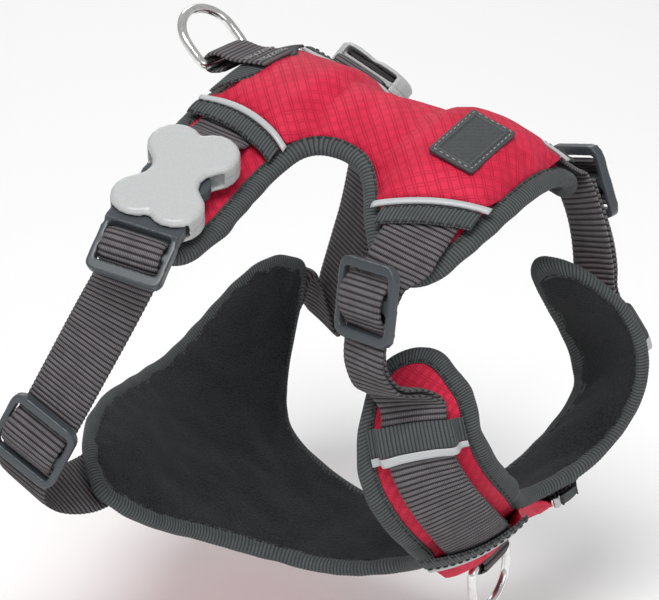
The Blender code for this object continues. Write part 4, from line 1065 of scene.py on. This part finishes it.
def make_neck_strap(name, side):
    """Two layers of webbing from the slider to the chest; the lower one comes from the back."""
    centre = body_point(*NECK_SLIDER[name])
    station = ARM_S[name]
    first_t = ARM_CONTACT[name]
    inner = body_point(60, 0, -60)
    across, down, out = outward_frame(centre, direction(NECK_DOWN[name]), direction(NECK_WIDTH[name]), inner)
    rows = []
    for t in [t for t in (3, 14, 25, 35, 43, 50, 56) if t <= NECK_LEAVE[name]]:
        heading = BACK.axes((NECK_S, side * t))[1][0] * side
        height = NECK_LOW_H + (OVER_BINDING + 0.8 - NECK_LOW_H) * float(1 - smooth_step(t, 42, 51))
        rows.append(draped_row(BACK, (NECK_S, side * t), heading, height))
    at_slider = [flat_row(centre + down * d - out * LAYER, across) for d in (-3, NECK_STRAIGHT)]
    rows += bend(rows[-1], heading, at_slider[0], down, 3) + at_slider
    stops = [first_t] + [t for t in (95, 87, 78, 69, 60, 51, 42, 33, 24) if t < first_t - 4]
    arm = [(t, arm_heading(side, t, station), arm_height(t)) for t in stops]
    lying = [draped_row(CHEST, (station, side * t), heading, height) for t, heading, height in arm]
    rows = aligned(rows + bend(rows[-1], down, lying[0], arm[0][1], 2) + lying)
    band(name + "_neck_strap_upper", rows)
    straight_end = rows[-len(lying) - 3]
    first = straight_end - down * (NECK_STRAIGHT + 2)
    doubled = np.concatenate([[first], rows[-len(lying) - 3:]])
    band(name + "_neck_strap_lower", offset_rows(doubled, LAYER_STEP, out))
    return frame_of(centre, across, down)


PLUG_TURN = [(5.9, -2.9), (5.6, -0.8), (4.2, 1.5), (2.3, 2.8), (0.0, 3.1)]   # webbing over the plug bar


def make_plug_webbing(name, plug_frame):
    """The turn of the strap round the plug's bar; it travels with the plug."""
    path = [(BAR_Y + dy, z) for dy, z in PLUG_TURN + [(-dy, z) for dy, z in PLUG_TURN[-2::-1]]]
    across = frame_axis(plug_frame, 0)
    band(name + "_plug_webbing",
         [flat_row(apply_frame(plug_frame, (0, y, z)), across)[::2] for y, z in path])


def make_girth_webbing(frames):
    """One band of webbing over the back, its ends turned round the bars inside the sockets."""
    turned = [(-19.5, 7.5), (-16.6, 7.4), (-15.4, 5.2), (-16.8, 2.8), (-20.5, 2.8), (-25.0, 3.2)]
    halves = []
    for name, side in SIDES:
        frame = frames[name]
        across = frame_axis(frame, 0)
        rows = [flat_row(apply_frame(frame, (0, y, z)), across) for y, z in turned]
        lying = []
        for t in (39, 32, 24, 16, 8):
            p = (GIRTH_S, side * t)
            lying.append(draped_row(BACK, p, BACK.axes(p)[1][0], LOW_H))
        outward = BACK.axes((GIRTH_S, side * 39))[1][0] * side
        rows += bend(rows[-1], -frame_axis(frame, 1), lying[0], -outward, 2)
        halves.append(rows + lying)
    middle = draped_row(BACK, (GIRTH_S, 0), BACK.axes((GIRTH_S, 0))[1][0], LOW_H)
    band("girth_webbing", halves[0] + [middle] + halves[1][::-1])


# ---- rings, tabs, badge ------------------------------------------------------------------
TAB_WIDTH = RING_WIDTH - 8
TAB_RADIUS = RING_WIRE + 0.7 + WEB_THICK / 2      # webbing's middle to the ring's bar
TAB_CLEARANCE = 0.9                                 # chest tab over the middle of the cover
CHEST_RING_S = 160.0
LEASH_BAR = (-22.0, -0.5, 10.5)       # body point of the middle of the leash ring's bar


def make_ring(name, frame):
    """A polished D ring: the origin is the middle of its straight bar, the bow points along +y."""
    half, straight = RING_WIDTH / 2, RING_LENGTH - RING_WIDTH / 2 + RING_WIRE
    path = [(-half + 3, 0), (half - 3, 0), (half - 0.8, 0.8), (half, 3), (half, straight * 0.6)]
    path += [(half * math.cos(a), straight + half * 0.9 * math.sin(a)) for a in np.linspace(0, math.pi, 11)]
    path += [(-half, straight * 0.6), (-half, 3), (-half + 0.8, 0.8)]
    path = np.array(path)
    for _ in range(3):
        after = np.roll(path, -1, 0)
        path = np.stack([path * 0.75 + after * 0.25, path * 0.25 + after * 0.75], 1).reshape(-1, 2)
    curve = bpy.data.curves.new(name + "_wire", "CURVE")
    curve.dimensions, curve.bevel_depth, curve.bevel_resolution = "3D", RING_WIRE * MM, 6
    spline = curve.splines.new("POLY")
    spline.points.add(len(path) - 1)
    for point, (x, y) in zip(spline.points, path):
        point.co = (x * MM, y * MM, 0, 1)
    spline.use_cyclic_u, spline.use_smooth = True, True
    curve.materials.append(MATERIALS["steel"])
    made = bpy.data.objects.new(name + "_wire", curve)
    made.matrix_world = frame
    return put_piece(made, "steel", name, name)


def make_tab(name, across, path):
    """A folded webbing tab round a ring's bar, through world points."""
    band(name, [flat_row(p, across, TAB_WIDTH)[::2] for p in path])


def make_leash_ring():
    bar = body_point(*LEASH_BAR)
    stitched = PATCH_H + SKIN / 2 + 0.6 + WEB_THICK / 2
    upper = [BACK.at((s, 0), stitched)[0] for s in (17, 11, 5)]
    across = np.array([1.0, 0, 0])
    toward = unit((upper[-1] - bar) * [0, 1, 1])
    out = np.cross(across, toward)
    out *= math.copysign(1, out[2])
    turn = [bar + (out * math.cos(a) - toward * math.sin(a)) * TAB_RADIUS
            for a in np.linspace(0, math.pi, 7)]
    lower = [bar + toward * 5 - out * TAB_RADIUS]
    make_tab("leash_ring_tab", across, upper + turn + lower)
    rise = math.radians(45)
    bow = -direction((1, 0, 0)) * math.cos(rise) + np.array([0, 0, 1.0]) * math.sin(rise)
    make_ring("leash_ring", frame_of(bar, across, bow))


def make_chest_ring():
    along, across, out = (v[0] for v in CHEST.axes((CHEST_RING_S, 0)))
    stitched = TOP_H + SKIN + LAYER_GAP + WEB_THICK / 2 + TAB_CLEARANCE

    def on_cover(s):
        p = np.array([[s, 0.0]])
        return CHEST.at(p, stitched + chest_lift(p))[0]

    bar = on_cover(CHEST_RING_S) + out * (TAB_RADIUS + 1.2)
    turn = [bar + (along * math.cos(a) + out * math.sin(a)) * TAB_RADIUS
            for a in np.linspace(-0.5, math.pi + 0.5, 9)]
    front = [on_cover(CHEST_RING_S + d) for d in (14, 7)]
    rear = [on_cover(CHEST_RING_S - d) for d in (7, 14)]
    make_tab("chest_ring_tab", across, front + turn + rear)
    down = np.array([0, 0, -1.0])
    make_ring("chest_ring", frame_of(bar, across, down - across * np.dot(down, across)))


BADGE_S, BADGE_T = 96.0, -7.0
BADGE = (30.0, 18.0, 1.5, 1.6)        # width, length, corner radius, thickness


def moulded(node, material, local, voxel=0.45, rounds=5):
    """A plastic piece with the soft edges of a moulding, from the frame's sharp solid."""
    source = NODES[node]
    obj = bpy.data.objects.new(node + "_moulding", source.data.copy())
    bpy.context.scene.collection.objects.link(obj)
    remesh = obj.modifiers.new("skin", "REMESH")
    remesh.mode, remesh.voxel_size, remesh.use_smooth_shade = "VOXEL", voxel * MM, True
    soften = obj.modifiers.new("soften", "SMOOTH")
    soften.factor, soften.iterations = 0.5, rounds
    mesh = bpy.data.meshes.new_from_object(obj.evaluated_get(bpy.context.evaluated_depsgraph_get()))
    bpy.data.objects.remove(obj, do_unlink=True)
    mesh.materials.clear()
    mesh.materials.append(MATERIALS[material])
    to_local = np.array(local.inverted())
    co = np.empty(len(mesh.vertices) * 3)
    mesh.vertices.foreach_get("co", co)
    co = co.reshape(-1, 3) @ to_local[:3, :3].T + to_local[:3, 3]
    corners = np.empty(len(mesh.loops), dtype=np.int32)
    mesh.loops.foreach_get("vertex_index", corners)
    for layer, columns in (("flat", (0, 1)), ("height", (2, 0))):
        flat = co[corners][:, columns].astype(np.float32)
        mesh.uv_layers.new(name=layer).data.foreach_set("uv", flat.ravel())
    made = bpy.data.objects.new(node + "_moulding", mesh)
    mesh.shade_smooth()
    slot = "grey_plastic" if material == "socket_plastic" else material
    return put_piece(made, slot, BODY_OF[node], node)


def seamed_plastic():
    """Light grey plastic with the fine parting line of its two mould halves."""
    material = MATERIALS["grey_plastic"].copy()
    material.name = "socket_plastic"
    n = Nodes(material=material)
    split = n.node("ShaderNodeSeparateXYZ")
    n.put(split.inputs[0], n.node("ShaderNodeUVMap", uv_map="height").outputs[0])
    away = n.math("ABSOLUTE", n.minus(split.outputs[0], SOCKET_THICK * 0.5 * MM))
    line = n.ramp(away, 0.0, 0.22 * MM, 1.0, 0.0)
    old = n.shader.inputs["Base Color"].links[0].from_socket
    n.colour(n.mix(n.times(line, 0.5), old, (0.30, 0.31, 0.31)))
    speckle = n.noise(0.5, 4)
    n.bump(n.minus(n.times(speckle, 0.08), line), 0.15)
    return material


MATERIALS["socket_plastic"] = seamed_plastic()
sockets = {}
for name, side in SIDES:
    make_keeper(name, side)
    socket = sockets[name] = socket_frame(name, side)
    plug_frame = strap_frame(socket)
    make_plug_webbing(name, plug_frame)
    girth, neck = make_girth_strap(name, side, plug_frame), make_neck_strap(name, side)
    slider_webbing(name + "_girth_slider", girth)
    slider_webbing(name + "_neck_slider", neck)
    moulded(name + "_buckle_socket", "socket_plastic", socket, 0.5, 6)
    moulded(name + "_buckle_plug", "dark_plastic", plug_frame)
    for prong in ("_rear_prong", "_front_prong"):
        moulded(name + prong, "dark_plastic", socket, 0.4, 7)
    for slider, place in (("_girth_slider", girth), ("_neck_slider", neck)):
        moulded(name + slider, "dark_plastic", place, 0.45, 7)
make_girth_webbing(sockets)


def make_rear_patch():
    """The tape over the panel's rear edge, with a row of stitches along its front."""
    rows = []
    for t in np.linspace(-PATCH_HALF, PATCH_HALF, 25):
        rear = BINDING_REACH - 0.2
        front = BINDING_REACH + 1.2 + PATCH_DEPTH * float(smooth_step(abs(t), 6, PATCH_HALF))
        places = ((rear, 0), ((rear + front) / 2, 0.3), (front, 0))
        rows.append([BACK.at((s, t), PATCH_H + lift)[0] for s, lift in places])
    _, grid, normal, _ = band("rear_patch_tape", rows, 0.8, "grosgrain")
    up = np.sign(normal[len(normal) // 2, 3, 2])
    out = normal[:, -2] * up
    stitches("rear_patch_front_stitches", grid[:, -2] + out * 0.5, out, "harness", length=2.2, pitch=2.9)


make_rear_patch()
make_leash_ring()
make_chest_ring()


# ---- stitching on the webbing ------------------------------------------------------------
def zigzag(name, band_name, start, end, side_from, side_to, outward, material, teeth):
    """A zigzag seam across a band, between two places along it, on the side that faces outward."""
    _, grid, normal, along = WOVEN[band_name]
    facing = np.sign((normal * outward).sum(2).mean())
    columns = grid.shape[1] - 1
    line, out = [], []
    for k in range(teeth * 8 + 1):
        f = k / (teeth * 8)
        saw = abs((f * teeth) % 2 - 1)
        across = (side_from + (side_to - side_from) * f) * columns
        at = start + (end - start) * saw
        i = int(np.clip(np.searchsorted(along, at), 0, len(along) - 1))
        j = int(np.clip(round(across), 0, columns))
        low, high = int(math.floor(across)), min(columns, int(math.floor(across)) + 1)
        w = across - low
        point = grid[i, low] * (1 - w) + grid[i, high] * w
        line.append(point + normal[i, j] * facing * (WEB_THICK / 2 + 0.25))
        out.append(normal[i, j] * facing)
    stitches(name, line, out, BODY_OF[band_name], material, length=1.9, pitch=2.2, radius=0.24)


UP = np.array([0, 0, 1.0])
chest_length = WOVEN["chest_ring_tab"][3][-1]
TAB_SEAMS = (
    ("leash_ring_tab", UP, ((1.0, 3.6), (6.5, 9.2))),
    ("chest_ring_tab", -UP, ((1.5, 4.5), (chest_length - 4.5, chest_length - 1.5))),
)
for tab, outward, seams in TAB_SEAMS:
    for number, (low, high) in enumerate(seams):
        zigzag(f"{tab}_seam_{number}", tab, low, high, 0.06, 0.94, outward, "light_thread", 15)


# ---- badge -------------------------------------------------------------------------------
BADGE_RIM, BADGE_RAISE = 2.4, 0.40    # margin outside the raised line, height of the line


def in_world(local, points):
    return np.array([apply_frame(local, q) for q in points])


def badge():
    """The moulded badge: rounded rim, raised border and a plain ribbed field."""
    p = (BADGE_S, BADGE_T)
    _, across, normal = (v[0] for v in BACK.axes(p))
    local = frame_of(BACK.at(p, TOP_H + NECK_LIFT + SKIN + 0.9)[0], across, np.cross(normal, across))
    width, length, radius, thickness = BADGE
    nx, ny = 150, 90
    x, y = np.linspace(-1, 1, nx) * width / 2, np.linspace(-1, 1, ny) * length / 2
    gx, gy = np.meshgrid(x, y, indexing="ij")
    corner = np.maximum(abs(gx) - (width / 2 - radius), 0), np.maximum(abs(gy) - (length / 2 - radius), 0)
    outside = np.hypot(*corner)
    shrink = np.where(outside > radius, radius / np.maximum(outside, 1e-6), 1.0)
    gx = np.sign(gx) * (np.minimum(abs(gx), width / 2 - radius) + corner[0] * shrink)
    gy = np.sign(gy) * (np.minimum(abs(gy), length / 2 - radius) + corner[1] * shrink)
    edge = np.minimum(width / 2 - abs(gx), length / 2 - abs(gy))
    line = np.exp(-((edge - BADGE_RIM) / 0.42) ** 4)
    field = smooth_step(-edge, -BADGE_RIM - 1.6, -BADGE_RIM - 1.2)
    ribs = 0.5 + 0.5 * np.sin(2 * math.pi * (gx + gy) / 2.6)
    rounding = 0.35 * np.exp(-edge / 0.35)
    top = thickness + BADGE_RAISE * line + 0.22 * field * ribs ** 2 - rounding
    upper = np.stack([gx, gy, top], 2).reshape(-1, 3)
    lower = np.stack([gx, gy, np.full_like(gx, 0.1)], 2).reshape(-1, 3)
    n = nx * ny
    faces = []
    for i in range(nx - 1):
        for j in range(ny - 1):
            a, b, c, d = i * ny + j, (i + 1) * ny + j, (i + 1) * ny + j + 1, i * ny + j + 1
            faces += [(a, b, c, d), (a + n, d + n, c + n, b + n)]
    rim = [i * ny for i in range(nx)] + [(nx - 1) * ny + j for j in range(1, ny)]
    rim += [i * ny + ny - 1 for i in range(nx - 2, -1, -1)] + [j for j in range(ny - 2, 0, -1)]
    faces += [(b, a, a + n, b + n) for a, b in zip(rim, rim[1:] + rim[:1])]
    made = mesh_piece("badge_moulding", in_world(local, np.vstack([upper, lower])), faces, "badge_rubber",
                      np.vstack([upper[:, :2], lower[:, :2]]))
    put_piece(made, "badge_rubber", "harness", "badge")
    border = rounded_path(width / 2 - 1.15, length / 2 - 1.15, 1.0)
    border = np.column_stack([border, np.full(len(border), thickness - 0.02)])
    stitches("badge_stitches", in_world(local, border),
             np.repeat(frame_axis(local, 2)[None], len(border), 0), "harness", "light_thread",
             length=1.7, pitch=2.5, radius=0.22, closed=True)


def rounded_path(half_x, half_y, radius):
    """A closed rectangle with rounded corners."""
    points = []
    for corner, (sx, sy) in enumerate(((1, 1), (-1, 1), (-1, -1), (1, -1))):
        for k in range(5):
            angle = math.pi / 2 * (corner + k / 4)
            points.append((sx * (half_x - radius) + radius * math.cos(angle),
                           sy * (half_y - radius) + radius * math.sin(angle)))
    return np.array(points)


badge()


# ---- floor, light and camera -------------------------------------------------------------
FLOOR_SIZE, FLOOR_DROP = 4.0, 0.03    # half of its side, and how far it lies below the harness
# name, place, size and watts of the lamps, which all face the origin
LAMPS = (("key", (-0.7, -0.3, 1.3), 0.8, 17), ("fill", (-0.6, -1.3, 0.5), 0.9, 3),
         ("rim", (0.9, 0.9, 0.9), 0.7, 4))
WORLD_STRENGTH = 0.50


def pale_floor():
    mesh = bpy.data.meshes.new("floor")
    corners = [(x * FLOOR_SIZE, y * FLOOR_SIZE, 0) for x, y in ((-1, -1), (1, -1), (1, 1), (-1, 1))]
    mesh.from_pydata(corners, [], [(0, 1, 2, 3)])
    floor = bpy.data.objects.new("floor", mesh)
    floor.location.z = CAD_BOX[0][2] - FLOOR_DROP
    n = Nodes("pale_floor", 0.9)
    n.colour(n.mix(n.noise(300, 2), (0.94, 0.94, 0.94), (0.96, 0.96, 0.96)))
    mesh.materials.append(n.material)
    bpy.context.scene.collection.objects.link(floor)


def softbox(name, place, size, watts):
    data = bpy.data.lights.new(name, "AREA")
    data.shape, data.size, data.size_y, data.energy = "RECTANGLE", size, size * 0.7, watts
    lamp = bpy.data.objects.new(name, data)
    lamp.location = place
    lamp.rotation_euler = (-Vector(place)).to_track_quat("-Z", "Y").to_euler()
    bpy.context.scene.collection.objects.link(lamp)


def studio():
    world = bpy.data.worlds.new("studio")
    world.use_nodes = True
    background = world.node_tree.nodes["Background"]
    background.inputs["Color"].default_value = (1, 1, 1, 1)
    background.inputs["Strength"].default_value = WORLD_STRENGTH
    bpy.context.scene.world = world
    bpy.context.scene.view_settings.view_transform = "Standard"
    for lamp in LAMPS:
        softbox(*lamp)


AIM = Vector((0.0, 0.0162, -0.0098))
AZIMUTH, ELEVATION, DISTANCE, LENS = -55.0, 24.0, 1.10, 163.5


def make_camera():
    """Looks down at the harness from the dog's right and front."""
    azimuth, elevation = math.radians(AZIMUTH), math.radians(ELEVATION)
    back = Vector((math.sin(azimuth) * math.cos(elevation), -math.cos(azimuth) * math.cos(elevation),
                   math.sin(elevation)))
    data = bpy.data.cameras.new("camera")
    data.lens, data.sensor_width, data.sensor_fit = LENS, 36.0, "HORIZONTAL"
    camera = bpy.data.objects.new("camera", data)
    camera.location = AIM + back * DISTANCE
    camera.rotation_euler = back.to_track_quat("Z", "Y").to_euler()
    bpy.context.scene.collection.objects.link(camera)
    bpy.context.scene.camera = camera


make_camera()
pale_floor()
studio()
